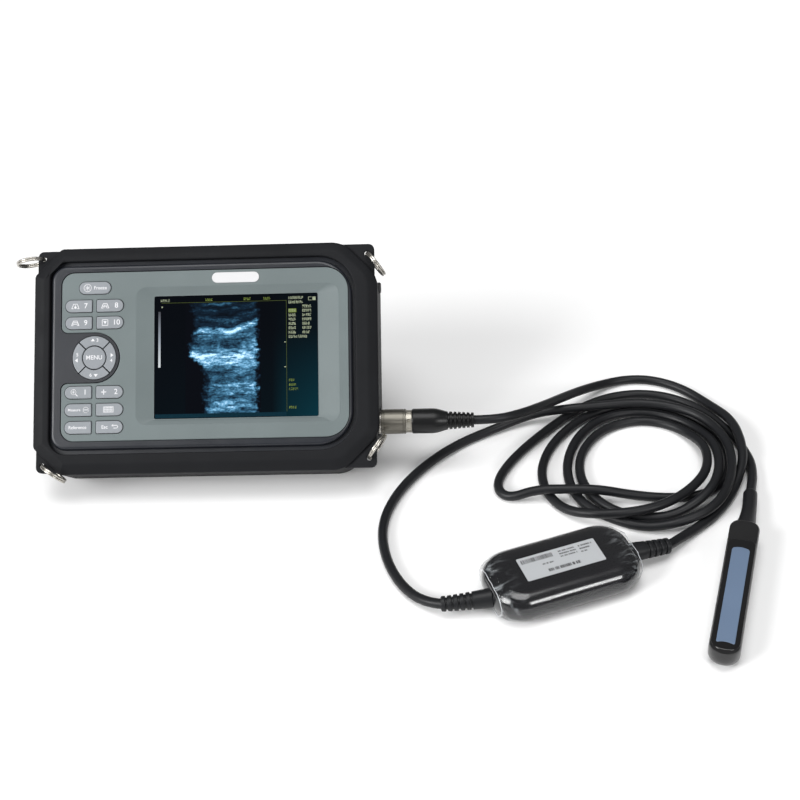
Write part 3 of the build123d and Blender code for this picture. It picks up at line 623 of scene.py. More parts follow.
# The plug's turned pieces, as (x, radius) from the console outwards
SLEEVE = (
    (121.6, 7.0), (121.6, 8.3), (122.0, 8.7), (123.2, 8.7), (123.4, 8.5), (123.8, 8.5), (124.0, 8.7),
    (136.9, 8.7), (137.1, 8.45), (137.5, 8.45), (137.7, 8.75), (138.5, 8.75), (138.9, 8.3), (138.9, 7.0),
)
COLLAR = (
    (138.6, 6.5), (138.6, 7.6), (139.0, 7.9), (139.6, 7.9), (139.65, 7.9), (142.35, 7.9), (142.4, 7.9),
    (142.9, 7.9), (143.3, 7.6), (143.3, 6.5),
)
COLLAR_NOTCHED = (4, 5)
SHELL = (
    (143.2, 7.0), (143.2, 8.3), (143.6, 8.6), (144.4, 8.7), (150, 8.75), (158, 8.75), (160.5, 8.45),
    (163, 7.8), (165.5, 7.0), (167.5, 6.45), (168.2, 6.3), (168.2, 5.0),
)


def lathe(name, profile, notched=()):
    """A turned piece along the plug's axis, closed at both ends, with notches round some of its profile."""
    sides, pitch, notch_depth = 64, 8, 0.9
    rings = []
    for i, (x, radius) in enumerate(profile):
        ring = []
        for k in range(sides):
            turn = 2 * pi * k / sides
            r = radius - notch_depth if i in notched and k % pitch in (0, 1) else radius
            ring.append((x, PLUG_Y + r * cos(turn), PLUG_Z + r * sin(turn)))
        rings.append(ring)
    return skin(name, rings, 32)


def make_plug():
    attach(lathe("lock_sleeve", SLEEVE), "nickel", stands_for=["plug_sleeve"], finish="dark_nickel")
    collar = lathe("lock_collar", COLLAR, COLLAR_NOTCHED)
    attach(collar, "nickel", stands_for=["plug_ring"], finish="satin_nickel")
    attach(lathe("plug_shell", SHELL), "plug_black", stands_for=["plug_body"])
    axis = [(x, PLUG_Y, PLUG_Z) for x in (167.5, 177, 186.4)]
    relief = make_relief("plug_strain_relief", axis, 6.5, 5.2, 6, 0.04)
    attach(relief, "plug_black", stands_for=["plug_relief"])


def along(path, share):
    """The point at a share of a path's length."""
    path = [Vector(p) for p in path]
    runs = [(b - a).length for a, b in zip(path, path[1:])]
    left = share * sum(runs)
    for a, b, run in zip(path, path[1:], runs):
        if left <= run:
            return a.lerp(b, left / run)
        left -= run
    return path[-1]


def curve_through(points, count):
    """A smooth quadratic path from the first point to the last."""
    a, b, c = (Vector(p) for p in points)
    b = b * 2 - (a + c) / 2
    out = []
    for i in range(count + 1):
        t = i / count
        out.append(a * (1 - t) ** 2 + b * 2 * t * (1 - t) + c * t * t)
    return out


# One rib and its groove: shares of the pitch, and how far in from the cone they are
RIB = ((-0.06, 0), (0.0, 0.25), (0.04, 1.1), (0.30, 1.1), (0.34, 0.25), (0.42, 0))


def make_relief(name, points, base, tip, ribs, plain):
    """A strain relief: a smooth cone for its plain share, then rounded ribs over a thinner core."""
    path = curve_through(points, 120)
    pitch = (1 - plain) / ribs
    stations = [(0.0, base), (plain * 0.5, base + (tip - base) * plain * 0.5)]
    for i in range(ribs):
        start = plain + i * pitch
        radius = base + (tip - base) * (start + pitch / 2)
        stations += [(start + pitch * share, radius - drop) for share, drop in RIB]
    stations += [(0.99, tip), (1.0, tip - 0.35)]
    centres = [along(path, min(max(share, 0), 1)) for share, _ in stations]
    return skin(name, tube_rings(centres, [radius for _, radius in stations], 36), 42)


# ---- in-line box

BOX = Matrix.Translation((0.240, -0.1165, 0)) @ Matrix.Rotation(radians(20.6), 4, "Z")
BOX_L, BOX_W, BOX_CORNER, BOX_BASE, BOX_H = 102.0, 55.0, 21.0, 0.7, 22.6
BOX_MIDDLE, BOX_HALF = BOX_BASE + BOX_H / 2, BOX_H / 2

# How far the sides curve in over the box's height, and how square that curve is
BOX_ROUND, BOX_POWER = 12.0, 2.15

# Each relief's points from box to cord, its radii, number of ribs, and plain share
BOX_RELIEFS = {
    "probe": ([(195.0, -137.5, 11.4), (178, -139.6, 10.4), (163.2, -140.1, 9.0)], 6.4, 4.95, 5, 0.38),
    "console": ([(287.0, -98.6, 11.4), (300, -94.6, 10.4), (311.9, -90.4, 9.0)], 6.4, 5.3, 4, 0.38),
}


def box_inset(lift):
    """How far the box's side has curved in at a height from -1 at its base to 1 at its top."""
    return BOX_ROUND * (1 - (1 - abs(lift) ** BOX_POWER) ** (1 / BOX_POWER))


def box_ring(inset, z):
    bounds = (-BOX_L / 2, BOX_L / 2, -BOX_W / 2, BOX_W / 2)
    return at_height(plate_ring(bounds, BOX_CORNER, BOX_CORNER, -inset), z)


def make_box():
    """A pebble-like box: round in plan, its sides curving into a faint crown on top and bottom."""
    lifts = [sin(radians(-90 + 6 * k)) for k in range(31)]
    rings = [box_ring(box_inset(lift), BOX_MIDDLE + BOX_HALF * lift) for lift in lifts]
    for inset, crown in ((15, 0.1), (19, 0.15)):
        rings.append(box_ring(inset, BOX_MIDDLE + BOX_HALF + crown))
        rings.insert(0, box_ring(inset, BOX_MIDDLE - BOX_HALF - crown))
    body = skin("signal_box", rings, 60, BOX)
    attach(body, "box_plastic", stands_for=["inline_box_top", "inline_box_bottom"])
    for side, facts in BOX_RELIEFS.items():
        relief = make_relief(f"box_relief_{side}", *facts)
        attach(relief, "cord_rubber", stands_for=[f"inline_box_relief_{side}"])


LABEL_L, LABEL_W, LABEL_Z = 54.0, 20.8, BOX_BASE + BOX_H + 0.22


def make_label():
    """A pale label, with plain bars and rows of dashes where print would be."""
    points = plate_ring((-LABEL_L / 2, LABEL_L / 2, -LABEL_W / 2, LABEL_W / 2), 0.8, 0.8)
    rings = [at_height(points, LABEL_Z - 0.15), at_height(points, LABEL_Z + 0.08)]
    attach(skin("box_label", rings, 35, BOX), "label_paper", stands_for=["inline_box_label"])
    draw = random.Random(5)
    bars = []
    x, barcode_end = -25.0, -3.0
    while x < barcode_end:
        width = draw.choice((0.45, 0.6, 0.8, 1.1))
        bars.append((x, x + width, 4.6, 8.4))
        x += width + draw.choice((0.35, 0.5, 0.7))
    for row in range(3):
        bars += dashes(draw, 1.0, 12.5, 6.8 - row * 2.4, 1.2)
        bars += dashes(draw, 15.0, 24.5 - row * 2.5, 6.6 - row * 2.7, 1.3)
    bars += dashes(draw, -11.0, 11.0, -7.3, 2.6, 1.7)
    bars += dashes(draw, -12.5, -5.0, -0.3, 1.2)
    attach(add_slabs("label_print", map(bar, bars), LABEL_Z + 0.1, BOX), "label_paper", finish="label_ink")


INK = 0.05


def bar(bounds):
    x0, x1, y0, y1 = bounds
    return [(x0, y0), (x1, y0), (x1, y1), (x0, y1)]


def add_slabs(name, shapes, z, place=FACE):
    """Thin closed shapes with their tops at z, sunk into the surface under them."""
    verts, faces = [], []
    for shape in shapes:
        start, size = len(verts), len(shape)
        for height in (z, z - INK):
            verts.extend((point[0], point[1], height) for point in shape)
        slab = ring_faces(2, size) + end_faces(2, size)
        faces.extend(tuple(start + corner for corner in face) for face in slab)
    return add_mesh(name, verts, faces, place, False)


def dashes(draw, start, end, low, height, longest=1.3):
    """A row of short marks with small gaps, as unreadable print."""
    out = []
    while start < end:
        stop = min(start + draw.uniform(0.5, longest), end)
        out.append((start, stop, low, low + height))
        start = stop + draw.choice((0.25, 0.3, 0.9))
    return out


# The film's open ends, how it draws in round the box's ends, and how it wrinkles
FILM_ENDS, FILM_STATIONS = (-48.6, 49.6), 112
FILM_DRAWN_FROM, FILM_DRAW = 29.5, 0.92
FILM_ACROSS, FILM_FLOOR = 24, 0.12
FILM_WRINKLE, FILM_SMOOTH, FILM_CREASED = 2.2, 26, 22
RIM_GROW, RIM_R = 0.55, 0.25


def film_section(x, grow, wrinkle):
    """The film's section across the box at x: it follows the box and puckers towards its ends."""
    past = max(0.0, abs(x) - FILM_DRAWN_FROM) * FILM_DRAW
    inset_limit = BOX_CORNER - past
    lift_limit = 1.0
    if inset_limit < BOX_ROUND:
        lift_limit = (1 - (1 - inset_limit / BOX_ROUND) ** BOX_POWER) ** (1 / BOX_POWER)
    side = []
    for k in range(41):
        lift = lift_limit * sin(radians(-90 + 4.5 * k))
        reach = sqrt(max((BOX_CORNER - box_inset(lift)) ** 2 - past ** 2, 0.0))
        side.append(Vector((BOX_W / 2 - BOX_CORNER + reach, BOX_HALF * lift)))
    low, high = side[0], side[-1]
    shares = [1 - 2 * k / FILM_ACROSS for k in range(1, FILM_ACROSS)]
    ring = side + [Vector((high.x * share, high.y)) for share in shares]
    ring += [Vector((-p.x, p.y)) for p in reversed(side)]
    ring += [Vector((-low.x * share, low.y)) for share in shares]
    out = []
    for k, point in enumerate(ring):
        ahead = ring[(k + 1) % len(ring)] - ring[k - 1]
        normal = Vector((ahead.y, -ahead.x)).normalized()
        turn = 2 * pi * k / len(ring)
        pucker = sin(9 * turn + x * 0.21) + 0.7 * sin(21 * turn - x * 0.37 + 1.3)
        pucker += 0.5 * sin(5 * turn + x * 0.5) + 0.4 * sin(38 * turn + x * 0.8)
        point = point + normal * (grow + wrinkle * (pucker + 1.4) * 0.13)
        out.append((x, point.x, max(BOX_MIDDLE + point.y, FILM_FLOOR)))
    return out


def make_film():
    x0, x1 = FILM_ENDS
    rings = []
    for i in range(FILM_STATIONS + 1):
        x = x0 + (x1 - x0) * i / FILM_STATIONS
        share = max(0.0, (abs(x) - FILM_SMOOTH) / FILM_CREASED)
        rings.append(film_section(x, 0.35 + 0.2 * share ** 3, share ** 1.6 * FILM_WRINKLE))
    film = loft("shrink_film", rings, BOX, cap=False)
    attach(film, "clear_film", stands_for=["inline_box_film"])
    along_box = Vector((1, 0, 0))
    turns = [2 * pi * n / 6 for n in range(6)]
    # Each open end gets a thin rim painted pale as a highlight along the cut edge
    for name, x in (("film_edge_left", x0), ("film_edge_right", x1)):
        rim = [Vector(p) for p in film_section(x, RIM_GROW, FILM_WRINKLE)]
        wire = []
        for k, point in enumerate(rim):
            ahead = (rim[(k + 1) % len(rim)] - rim[k - 1]).normalized()
            out = along_box.cross(ahead)
            wire.append([tuple(point + (along_box * cos(t) + out * sin(t)) * RIM_R) for t in turns])
        attach(loft(name, wire, BOX, closed=True), "clear_film", finish="film_edge")


# ---- probe

PROBE = Matrix.Translation((0.3642, -0.0754, 0)) @ Matrix.Rotation(radians(254.9), 4, "Z")
PROBE_L, PROBE_W, PROBE_H, NOSE_R = 121.5, 19.6, 18.0, 12.0


def nose_cut(z):
    """How far the nose has curved back at a height."""
    return 0.0 if z >= NOSE_R else NOSE_R - sqrt(NOSE_R ** 2 - (NOSE_R - z) ** 2)


# How far in the probe's skin is at each height, and the same for the glossy deck and the lens on it
BODY_SKIN = (
    (6.2, 0.0), (5.0, 0.0), (3.9, 0.25), (2.8, 0.8), (1.8, 1.6), (1.0, 2.7), (0.4, 4.0), (0.1, 5.6), (0, 7.5),
    (0, 9.5), (0, 12), (0, 13.8), (0.05, 15.2), (0.3, 16.2), (0.75, 16.9), (1.3, 17.25), (1.9, 17.35),
    (4.0, 17.4),
)
DECK = (20.0, 118.6, -8.9, 8.9)
DECK_SKIN = ((0, 17.0), (0.0, 17.4), (0.12, 17.7), (0.45, 17.93), (0.9, 18.0), (1.6, 18.0))
LENS_SKIN = ((0, 17.6), (0, 18.05), (0.12, 18.13), (0.35, 18.15))
LENS_ENDS, LENS_HALF, LENS_BOW, LENS_CORNER = (29.5, 113.5), 5.65, 1.6, 1.2


def make_probe():
    rings = []
    for inset, z in BODY_SKIN:
        bounds = (0, PROBE_L - nose_cut(z) + min(inset, 3), -PROBE_W / 2, PROBE_W / 2)
        rings.append(at_height(plate_ring(bounds, 7.2, 9.4, -inset), z))
    attach(skin("probe_body", rings, 60, PROBE), "probe_plastic", stands_for=["probe_housing"])
    rings = [at_height(plate_ring(DECK, 4.0, 8.0, -inset), z) for inset, z in DECK_SKIN]
    attach(skin("probe_deck", rings, 60, PROBE), "probe_plastic", finish="probe_gloss")
    rings = [at_height(lens_outline(inset), z) for inset, z in LENS_SKIN]
    attach(skin("acoustic_lens", rings, 60, PROBE), "probe_lens", stands_for=["probe_window"])


def lens_outline(inset):
    """The acoustic window: straight sides, and both ends bowed towards the cord."""
    points = []
    w = LENS_HALF - inset
    for x, way in ((LENS_ENDS[0] + inset, 1), (LENS_ENDS[1] - inset, -1)):
        for k in range(17):
            y = way * (w - 2 * w * k / 16)
            edge = max(0.0, abs(y) - (w - LENS_CORNER)) / LENS_CORNER
            pull = LENS_CORNER * (1 - sqrt(max(1 - edge * edge, 0)))
            points.append((x - LENS_BOW * (1 - (y / w) ** 2) + way * pull, y))
    return points


def make_boot():
    """The boot that widens from the cord into the probe."""
    tip, base = Vector(PROBE_CORD[-1]), Vector((364.2, -75.4, PROBE_H / 2))
    start = tip + (tip - Vector(PROBE_CORD[-2])).normalized() * 0.2
    middle = tip.lerp(base, 0.5) + Vector((0.9, 0, -0.2))
    path = curve_through([start, middle, base + (base - tip).normalized()], 24)
    radii = []
    for i in range(len(path)):
        t = i / (len(path) - 1)
        radii.append(4.75 + 0.25 * t + 2.0 * max(0, (t - 0.35) / 0.65) ** 2)
    radii[0] = 4.1
    rings = tube_rings(path, radii, 40)
    rings.insert(0, tube_rings(path[:2], [3.2, 3.2], 40)[0])
    return attach(skin("cord_boot", rings, 50), "cord_rubber", stands_for=["probe_boot"])


# ---- screen

SCREEN_Z = -4.3
SCREEN = (-36.0, 79.0, -42.1, 44.5)
SCAN = (-14.0, 38.8, -38.8, 39.2)
TONE_BAR = (-33.2, -31.6, -6.0, 33.5)
STATUS_STRIP = (-35.4, 56.6, -41.7, -38.9)
HEADER_Y, READOUT_X, VALUES_X = 40.4, 58.6, 68.2
RULES = ((-31.0, 57.0, 39.45, 39.7), (56.9, 57.15, -38.6, 39.6))
HIGHLIGHT = (58.4, 64.0, 31.0, 33.7)
BATTERY_SIGN = (
    (75.4, 77.6, 39.3, 41.8), (72.6, 74.8, 41.5, 41.8), (72.6, 74.8, 39.3, 39.6), (72.4, 72.7, 39.3, 41.8),
)
DEPTH_MARKS = ((55.4, 56.6, 9.9, 10.5), (55.4, 56.6, -7.6, -7.0), (-31.0, -30.1, 36.2, 37.2))


def lit(name, strength, base=(0.0012, 0.0014, 0.002, 1), rough=0.14):
    """A dark display material that is still to be given what it shows."""
    m = Nodes(name)
    m.put("Base Color", base)
    m.put("Roughness", rough)
    m.put("Specular IOR Level", 0.06)
    m.put("Emission Strength", strength)
    return m


def glow(name, color, strength):
    m = lit(name, strength, (0.002, 0.002, 0.003, 1), 0.2)
    m.drive(m.ramp(m.noise(1800, 2), [(0.3, shade(color, 0.55)), (0.7, color)]), "Emission Color")
    return m.material


def on_screen(name, bars, material, lift=0.03):
    MATERIALS[name] = material
    attach(add_slabs(name, map(bar, bars), SCREEN_Z + lift), "screen_glass", finish=name)


def glyphs(draw, x, y, count, height):
    """A row of small blocks that stand for readout characters, each a 3 by 5 grid."""
    bars = []
    pitch = 1.3
    wide, tall = pitch * 0.26, height / 5
    for i in range(count):
        for col in range(3):
            for row in range(5):
                if draw.random() < (0.85 if col == 0 else 0.5):
                    left, low = x + i * pitch + col * wide, y + row * tall
                    bars.append((left, left + wide, low, low + tall * 0.9))
    return bars


def make_screen():
    draw = random.Random(11)
    on_screen("screen_lines", RULES, glow("readout_line", (0.13, 0.17, 0.04), 0.8))
    names = []
    for x in (0.0, 27.0, 41.0):
        names += glyphs(draw, x, HEADER_Y, 4, 1.9)
    names.append(HIGHLIGHT)
    for row in range(3):
        names += glyphs(draw, READOUT_X, -17.6 - row * 3.1, 3 + row, 1.8)
    names += glyphs(draw, READOUT_X, -36.6, 4, 1.8)
    on_screen("screen_names", names, glow("readout_yellow", (0.30, 0.40, 0.08), 0.75))
    values = glyphs(draw, -31.5, HEADER_Y, 5, 1.8)
    wide_rows, highlighted = {0: 8, 1: 8, 9: 10}, 2
    for row in range(10):
        y = HEADER_Y - row * 3.05
        if row in wide_rows:
            values += glyphs(draw, READOUT_X, y, wide_rows[row], 2.0)
        else:
            values += glyphs(draw, READOUT_X, y, 0 if row == highlighted else 4, 2.0)
            values += glyphs(draw, VALUES_X, y, draw.choice((4, 5, 5)), 2.0)
    values += BATTERY_SIGN + DEPTH_MARKS
    on_screen("screen_values", values, glow("readout_pale", (0.55, 0.62, 0.42), 0.9))
    on_screen("screen_tone_bar", [TONE_BAR], tone_bar())
    on_screen("screen_status_strip", [STATUS_STRIP], glow("status_strip", (0.002, 0.030, 0.048), 1.0), 0.02)
    on_screen("scan_picture", [SCAN], scan_material(), 0.02)
    MATERIALS["screen_face"] = screen_glow()
    face = add_slabs("screen_face", [plate_ring(SCREEN, 1.2, 1.2)], SCREEN_Z + 0.01)
    attach(face, "screen_glass", finish="screen_face")


def tone_bar():
    """The strip beside the picture, light below and dark above."""
    m = Nodes("tone_bar")
    m.put("Base Color", (0.002, 0.002, 0.003, 1))
    up = m.remap(m.places()[1], TONE_BAR[2] * MM, TONE_BAR[3] * MM, 0, 1)
    tones = [(0.0, (0.62, 0.66, 0.68)), (0.5, (0.25, 0.29, 0.34)), (1.0, (0.006, 0.008, 0.02))]
    m.drive(m.ramp(up, tones), "Emission Color")
    m.put("Emission Strength", 1.0)
    return m.material


def grey_ramp(m, value, stops):
    return m.ramp(value, [(place, (tone, tone, tone)) for place, tone in stops])


def screen_glow():
    """The display's black, with a faint blue-green towards its corner."""
    m = lit("screen_black", 1.0)
    x, y = m.places()
    across = m.remap(x, -0.036, 0.079, 0, 1)
    up = m.remap(y, -0.042, 0.044, 0, 1)
    across = grey_ramp(m, across, [(0.0, 0.05), (0.72, 0.1), (0.8, 0.6), (1.0, 1)])
    up = grey_ramp(m, up, [(0.0, 1), (0.35, 0.55), (0.7, 0.12), (1.0, 0.05)])
    tint = m.ramp(m.multiply(across, up), [(0.0, (0.0004, 0.0010, 0.0022)), (1.0, (0.0010, 0.030, 0.044))])
    m.drive(tint, "Emission Color")
    return m.material


# The scan's brightness by depth, from its lower edge up, and how far left it reaches at each height
BANDS = (
    (0.0, 0.50), (0.06, 0.62), (0.14, 0.42), (0.25, 0.60), (0.31, 0.36), (0.40, 0.55), (0.47, 0.85),
    (0.525, 1.0), (0.575, 0.70), (0.62, 0.34), (0.69, 0.42), (0.735, 0.95), (0.77, 0.12), (0.84, 0.22),
    (0.87, 0.04), (0.92, 0.20), (0.95, 0.05), (0.98, 0.35), (1.0, 0.12),
)
LEFT_REACH = (
    (0.0, 0.58), (0.36, 0.60), (0.46, 0.35), (0.52, 0.05), (0.62, 0.08), (0.72, 0.25), (0.9, 0.2), (1.0, 0.1),
)
SCAN_TONES = (
    (0.0, (0.0006, 0.0010, 0.0022)), (0.10, (0.004, 0.014, 0.028)), (0.28, (0.030, 0.105, 0.180)),
    (0.50, (0.125, 0.32, 0.50)), (0.85, (0.52, 0.76, 0.95)),
)


def scan_material():
    """Tissue layers that bend up at the right, a bright middle band, and streaks and speckle."""
    m = lit("scan_tissue", 1.45)
    x, y = m.places()
    low, high = SCAN[2] * MM, SCAN[3] * MM
    sway = m.remap(m.noise(60, 2, 0.5, (1, 0.4, 1)), 0.3, 0.7, -0.0022, 0.0022)
    bend = m.multiply(m.remap(x, 0.018, 0.039, 0, -0.0075), m.remap(y, 0.006, 0.018, 0, 1))
    bands = grey_ramp(m, m.remap(m.add_up(y, sway, bend), low, high, 0, 1), BANDS)
    left = grey_ramp(m, m.remap(y, low, high, 0, 1), LEFT_REACH)
    ragged = m.remap(m.noise(260, 3, 0.6), 0.3, 0.7, -0.0025, 0.0025)
    inside = m.remap(m.add_up(x, ragged, m.remap(left, 0, 1, 0.014, -0.007)), 0.0, 0.005, 0, 1)
    mask = m.multiply(inside, m.remap(m.add_up(x, ragged), 0.0345, 0.0380, 1, 0))
    streaks = m.remap(m.noise(300, 5, 0.6, (0.42, 1.5, 1), 0.6), 0.33, 0.66, 0.25, 1.15)
    speckle = m.remap(m.noise(850, 2, 0.6, (0.7, 1.1, 1)), 0.32, 0.68, 0.62, 1.15)
    patches = m.remap(m.noise(95, 2, 0.5, (0.7, 1.3, 1)), 0.3, 0.65, 0.5, 1.15)
    value = m.multiply(streaks, speckle, patches, bands, mask)
    m.drive(m.ramp(value, SCAN_TONES), "Emission Color")
    return m.material


# ---- key legends

KEY_Z = -0.6
MENU_Z = KEY_Z + 0.1
INK_TOP = 0.03
LEFT_X, RIGHT_X = -88.8, -66.7
ROW_7, ROW_9, ROW_1, ROW_MEASURE, ROW_REFERENCE = 38.2, 26.2, -22.8, -35.1, -47.4
PAD, PAD_R = Vector((-77.6, 1.5)), 12.3

# Key, text, place and size
LETTERING = (
    ("7", "7", LEFT_X + 5.0, ROW_7, 5.2),
    ("8", "8", RIGHT_X + 4.6, ROW_7, 5.2),
    ("9", "9", LEFT_X + 5.0, ROW_9, 5.2),
    ("10", "10", RIGHT_X + 4.6, ROW_9, 5.2),
    ("1", "1", LEFT_X + 5.0, ROW_1, 5.2),
    ("2", "2", RIGHT_X + 4.6, ROW_1, 5.2),
    ("measure", "Measure", LEFT_X - 2.6, ROW_MEASURE, 2.6),
    ("reference", "Reference", LEFT_X - 0.2, ROW_REFERENCE, 3.1),
    ("escape", "Esc", RIGHT_X - 3.2, ROW_REFERENCE, 3.5),
    ("freeze", "Freeze", -73.6, 50.9, 3.4),
)

# A pad key's direction and digit, and where its arrow and digit are from its middle
ARROWS = (
    ("up", 90, "3", (-1.0, 0), (2.2, -0.1)),
    ("right", 0, "4", (0, 1.5), (-0.2, -2.3)),
    ("down", -90, "6", (1.2, 0), (-2.4, 0)),
    ("left", 180, "5", (0, -1.7), (0.4, 2.2)),
)


def stroke(points, width, closed=False):
    """Quads along a line in the face plane."""
    shapes = []
    points = [Vector(p) for p in points]
    if closed:
        points.append(points[0])
    for a, b in zip(points, points[1:]):
        run = (b - a).normalized() * width / 2
        side = Vector((-run.y, run.x))
        shapes.append([a - run + side, a - run - side, b + run - side, b + run + side])
    return shapes


def cross_stroke(x0, x1, y, width):
    return stroke([(x0, y), (x1, y)], width)


def arc(x, y, radius, start, end, steps):
    out = []
    for i in range(steps + 1):
        turn = radians(start + (end - start) * i / steps)
        out.append((x + radius * cos(turn), y + radius * sin(turn)))
    return out


def printed(key, part, shapes):
    """Ink on a key: thin shapes a hair above its top."""
    ink = add_slabs(f"key_{key}_{part}", shapes, KEY_Z + INK_TOP)
    attach(ink, "badge_plastic", f"key_{key}_body", finish="legend_ink")


def lettered(key, text, x, y, size, z=KEY_Z):
    curve = bpy.data.curves.new("lettering", "FONT")
    curve.body = text
    curve.size = size * MM
    curve.align_x = "CENTER"
    curve.align_y = "CENTER"
    curve.offset = 0.03 * MM
    curve.extrude = INK_TOP * MM
    font = new_object("lettering", curve)
    bpy.context.view_layer.update()
    mesh = bpy.data.meshes.new_from_object(font.evaluated_get(bpy.context.evaluated_depsgraph_get()))
    bpy.data.objects.remove(font)
    edit_mesh(mesh, lambda work: bmesh.ops.remove_doubles(work, verts=work.verts, dist=0.000001))
    mesh.shade_flat()
    obj = new_object(f"key_{key}_{'number' if text.isdigit() else 'text'}", mesh)
    obj.matrix_world = FACE @ Matrix.Translation(Vector((x, y, z)) * MM)
    attach(obj, "badge_plastic", f"key_{key}_body", finish="legend_ink")


def arch_icon(x, y, inner):
    """A sloped arch with a mark inside, as on the picture keys."""
    w = 0.42
    shape = stroke([(x - 2.6, y - 1.7), (x - 1.3, y + 1.5), (x + 1.3, y + 1.5), (x + 2.6, y - 1.7)], w)
    shape += cross_stroke(x - 2.6, x - 1.5, y - 1.7, w) + cross_stroke(x + 1.5, x + 2.6, y - 1.7, w)
    if inner == "dot":
        shape.append(arc(x, y - 0.9, 0.85, 0, 330, 11))
        shape += stroke([(x, y - 0.2), (x, y + 0.6)], w)
    elif inner == "two":
        for way in (-1, 1):
            shape += stroke([(x + way * 0.9, y - 1.4), (x + way * 0.5, y + 0.5)], w)
        shape += cross_stroke(x - 1.6, x + 1.6, y - 0.4, w)
    else:
        shape += stroke([(x - 1.6, y + 0.2), (x, y + 0.5), (x + 1.6, y + 0.2)], w)
        shape += cross_stroke(x - 1.7, x + 1.7, y - 0.7, w)
    return shape


def frame_icon(x, y):
    shape = stroke([(x - 2, y + 2), (x + 2, y + 2), (x + 2, y - 2), (x - 2, y - 2)], 0.4, True)
    return shape + [[(x - 1.2, y + 1), (x + 1.2, y + 1), (x, y - 1.2)]]


def magnifier_icon(x, y):
    shape = stroke(arc(x, y, 1.75, 0, 360, 20), 0.45) + stroke([(x + 1.3, y - 1.4), (x + 2.7, y - 2.8)], 0.6)
    return shape + cross_stroke(x - 0.8, x + 0.8, y, 0.4) + stroke([(x, y - 0.8), (x, y + 0.8)], 0.4)


def caliper_icon(x, y):
    shape = stroke(arc(x, y, 1.9, 20, 160, 10), 0.4) + stroke(arc(x, y, 1.9, 200, 340, 10), 0.4)
    return shape + cross_stroke(x - 1.6, x + 1.6, y, 0.4)


def keyboard_icon(x, y):
    shape = stroke(bar((x - 3.4, x + 3.4, y - 1.9, y + 1.9)), 0.35, True)
    for row in range(3):
        for col in range(6):
            left, low = x - 2.9 + col, y - 1.4 + row * 1.1
            shape.append(bar((left, left + 0.7, low, low + 0.7)))
    return shape


def back_icon(x, y):
    high, low = y + 1.1, y - 0.8
    hook = [(x - 2.2, high), (x + 1.2, high), (x + 2.0, y + 0.2), (x + 1.2, low), (x - 1.0, low)]
    return stroke(hook, 0.45) + [[(x - 2.6, high), (x - 1.3, high + 1), (x - 1.3, high - 1)]]


def flake_icon(x, y):
    shape = stroke(arc(x, y, 2.6, 0, 360, 24), 0.45)
    for turn in (30, 90, 150):
        dx, dy = 1.6 * cos(radians(turn)), 1.6 * sin(radians(turn))
        shape += stroke([(x - dx, y - dy), (x + dx, y + dy)], 0.38)
    return shape


def make_legends():
    for facts in LETTERING:
        lettered(*facts)
    lettered("menu", "MENU", *PAD, 4.2, MENU_Z)
    plus_x = RIGHT_X - 4.0
    plus = cross_stroke(plus_x - 1.5, plus_x + 1.5, ROW_1, 0.6)
    plus += stroke([(plus_x, ROW_1 - 1.5), (plus_x, ROW_1 + 1.5)], 0.6)
    icons = {
        "7": arch_icon(LEFT_X - 2.4, ROW_7, "dot"),
        "8": arch_icon(RIGHT_X - 3.4, ROW_7, "two"),
        "9": arch_icon(LEFT_X - 2.4, ROW_9, "bow"),
        "10": frame_icon(RIGHT_X - 3.4, ROW_9),
        "1": magnifier_icon(LEFT_X - 3.2, ROW_1 + 0.4),
        "2": plus,
        "measure": caliper_icon(LEFT_X + 5.6, ROW_MEASURE),
        "keyboard": keyboard_icon(RIGHT_X - 0.6, ROW_MEASURE),
        "escape": back_icon(RIGHT_X + 4.2, ROW_REFERENCE),
        "freeze": flake_icon(-82.6, 51.0),
    }
    for key, shapes in icons.items():
        printed(key, "icon", shapes)
    for key, turn, digit, arrow_at, digit_at in ARROWS:
        ahead = Vector((cos(radians(turn)), sin(radians(turn))))
        side = Vector((-ahead.y, ahead.x)) * 1.45
        middle = PAD + ahead * PAD_R
        tip = middle + Vector(arrow_at) + ahead * 1.3
        foot = tip - ahead * 2
        printed(key, "arrow", [[tip, foot + side, foot - side]])
        lettered(key, digit, *(middle + Vector(digit_at)), 3.4)


# ---- stage

FLOOR_REACH = 6000
AIM = (0.1, 0, 0.05)


def add_softbox(name, place, size, power):
    data = bpy.data.lights.new(name, "AREA")
    data.size = size
    data.energy = power
    light = new_object(name, data)
    light.location = place
    light.rotation_euler = (Vector(AIM) - Vector(place)).to_track_quat("-Z", "Y").to_euler()


def add_wide_light(name, towards, energy, width):
    """A light from far away that falls evenly on everything; width is its angle in degrees."""
    data = bpy.data.lights.new(name, "SUN")
    data.energy = energy
    data.angle = radians(width)
    new_object(name, data).rotation_euler = Vector(towards).to_track_quat("Z", "Y").to_euler()


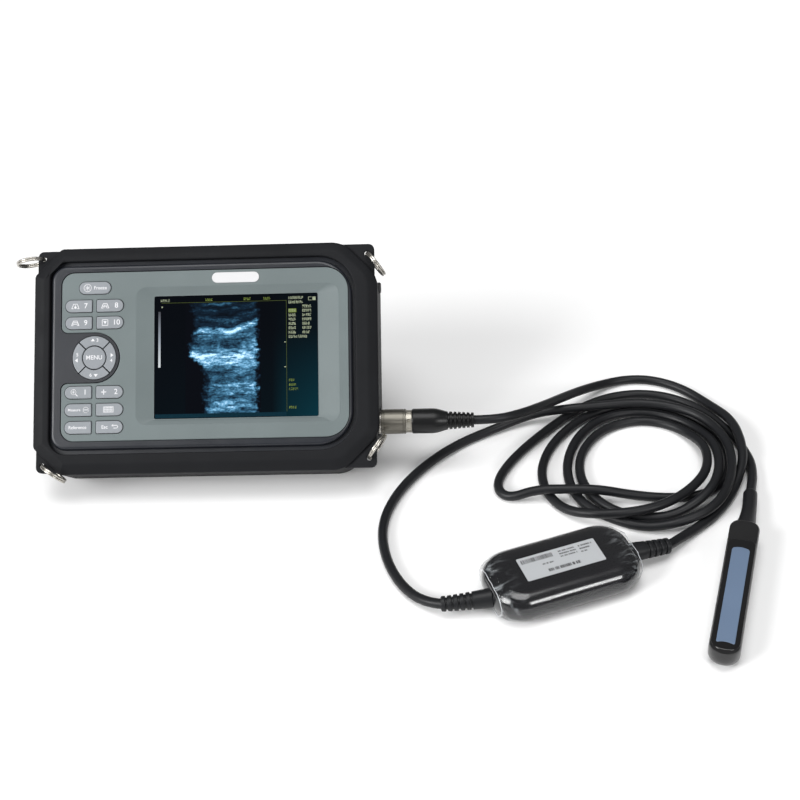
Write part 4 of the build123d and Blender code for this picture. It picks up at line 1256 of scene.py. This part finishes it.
def add_stage():
    corners = [(x * FLOOR_REACH, y * FLOOR_REACH, 0) for x, y in ((-1, -1), (1, -1), (1, 1), (-1, 1))]
    floor = add_mesh("floor", corners, [(0, 1, 2, 3)])
    m = Nodes("floor_paint")
    m.color(m.noise(3, 2), (0.93, 0.93, 0.93), (0.95, 0.95, 0.95))
    m.put("Roughness", 0.9)
    floor.data.materials.append(m.material)
    world = bpy.data.worlds.new("world")
    bpy.context.scene.world = world
    world.use_nodes = True
    background = world.node_tree.nodes["Background"]
    background.inputs["Color"].default_value = (1, 1, 1, 1)
    background.inputs["Strength"].default_value = 0.21
    add_wide_light("ceiling_light", (-0.05, -0.05, 1.0), 1.6, 40)
    add_wide_light("side_light", (-0.78, -0.44, 0.45), 2.3, 28)
    add_softbox("left_softbox", (-0.66, -0.66, 0.82), 0.45, 2.8)
    add_softbox("front_strip", (1.14, -1.22, 0.92), 0.5, 10)
    bpy.context.scene.view_settings.view_transform = "Standard"


# ---- CAD nodes

# Softened edges on the parts that show as they are, in millimetres
SOFTENED = {
    "rear_cover": 0.3, "kickstand": 0.4, "battery_door": 0.3, "battery_latch": 0.25, "power_button": 0.3,
}


def finish_nodes():
    slots = {subpart["node"]: subpart["material_slot"] for subpart in frame["record"]["subparts"]}
    for name, node in frame["nodes"].items():
        node.data.materials.clear()
        node.data.materials.append(MATERIALS[slots[name]])
    for name, width in SOFTENED.items():
        node = frame["nodes"][name]
        add_modifier(node, "WELD", merge_threshold=0.00001)
        even_normals(soften(node, width))


# ---- build

MATERIALS = make_materials()
add_camera()
add_cord("console_cable", CONSOLE_CORD, ["console_cord"], length=0.409, far_end="connector",
         with_pieces=["inline_box_relief_console", "inline_box_board", "inline_box_screws"])
add_cord("probe_cable", PROBE_CORD, ["probe_cord"], length=2.003, far_end="tool", with_pieces=[make_boot()])
finish_nodes()
make_bumper()
for number, facts in enumerate(TABS, start=1):
    make_ring(number, *facts[2:])
make_plug()
make_box()
make_label()
make_film()
make_probe()
make_surround()
make_screen()
make_legends()
add_stage()
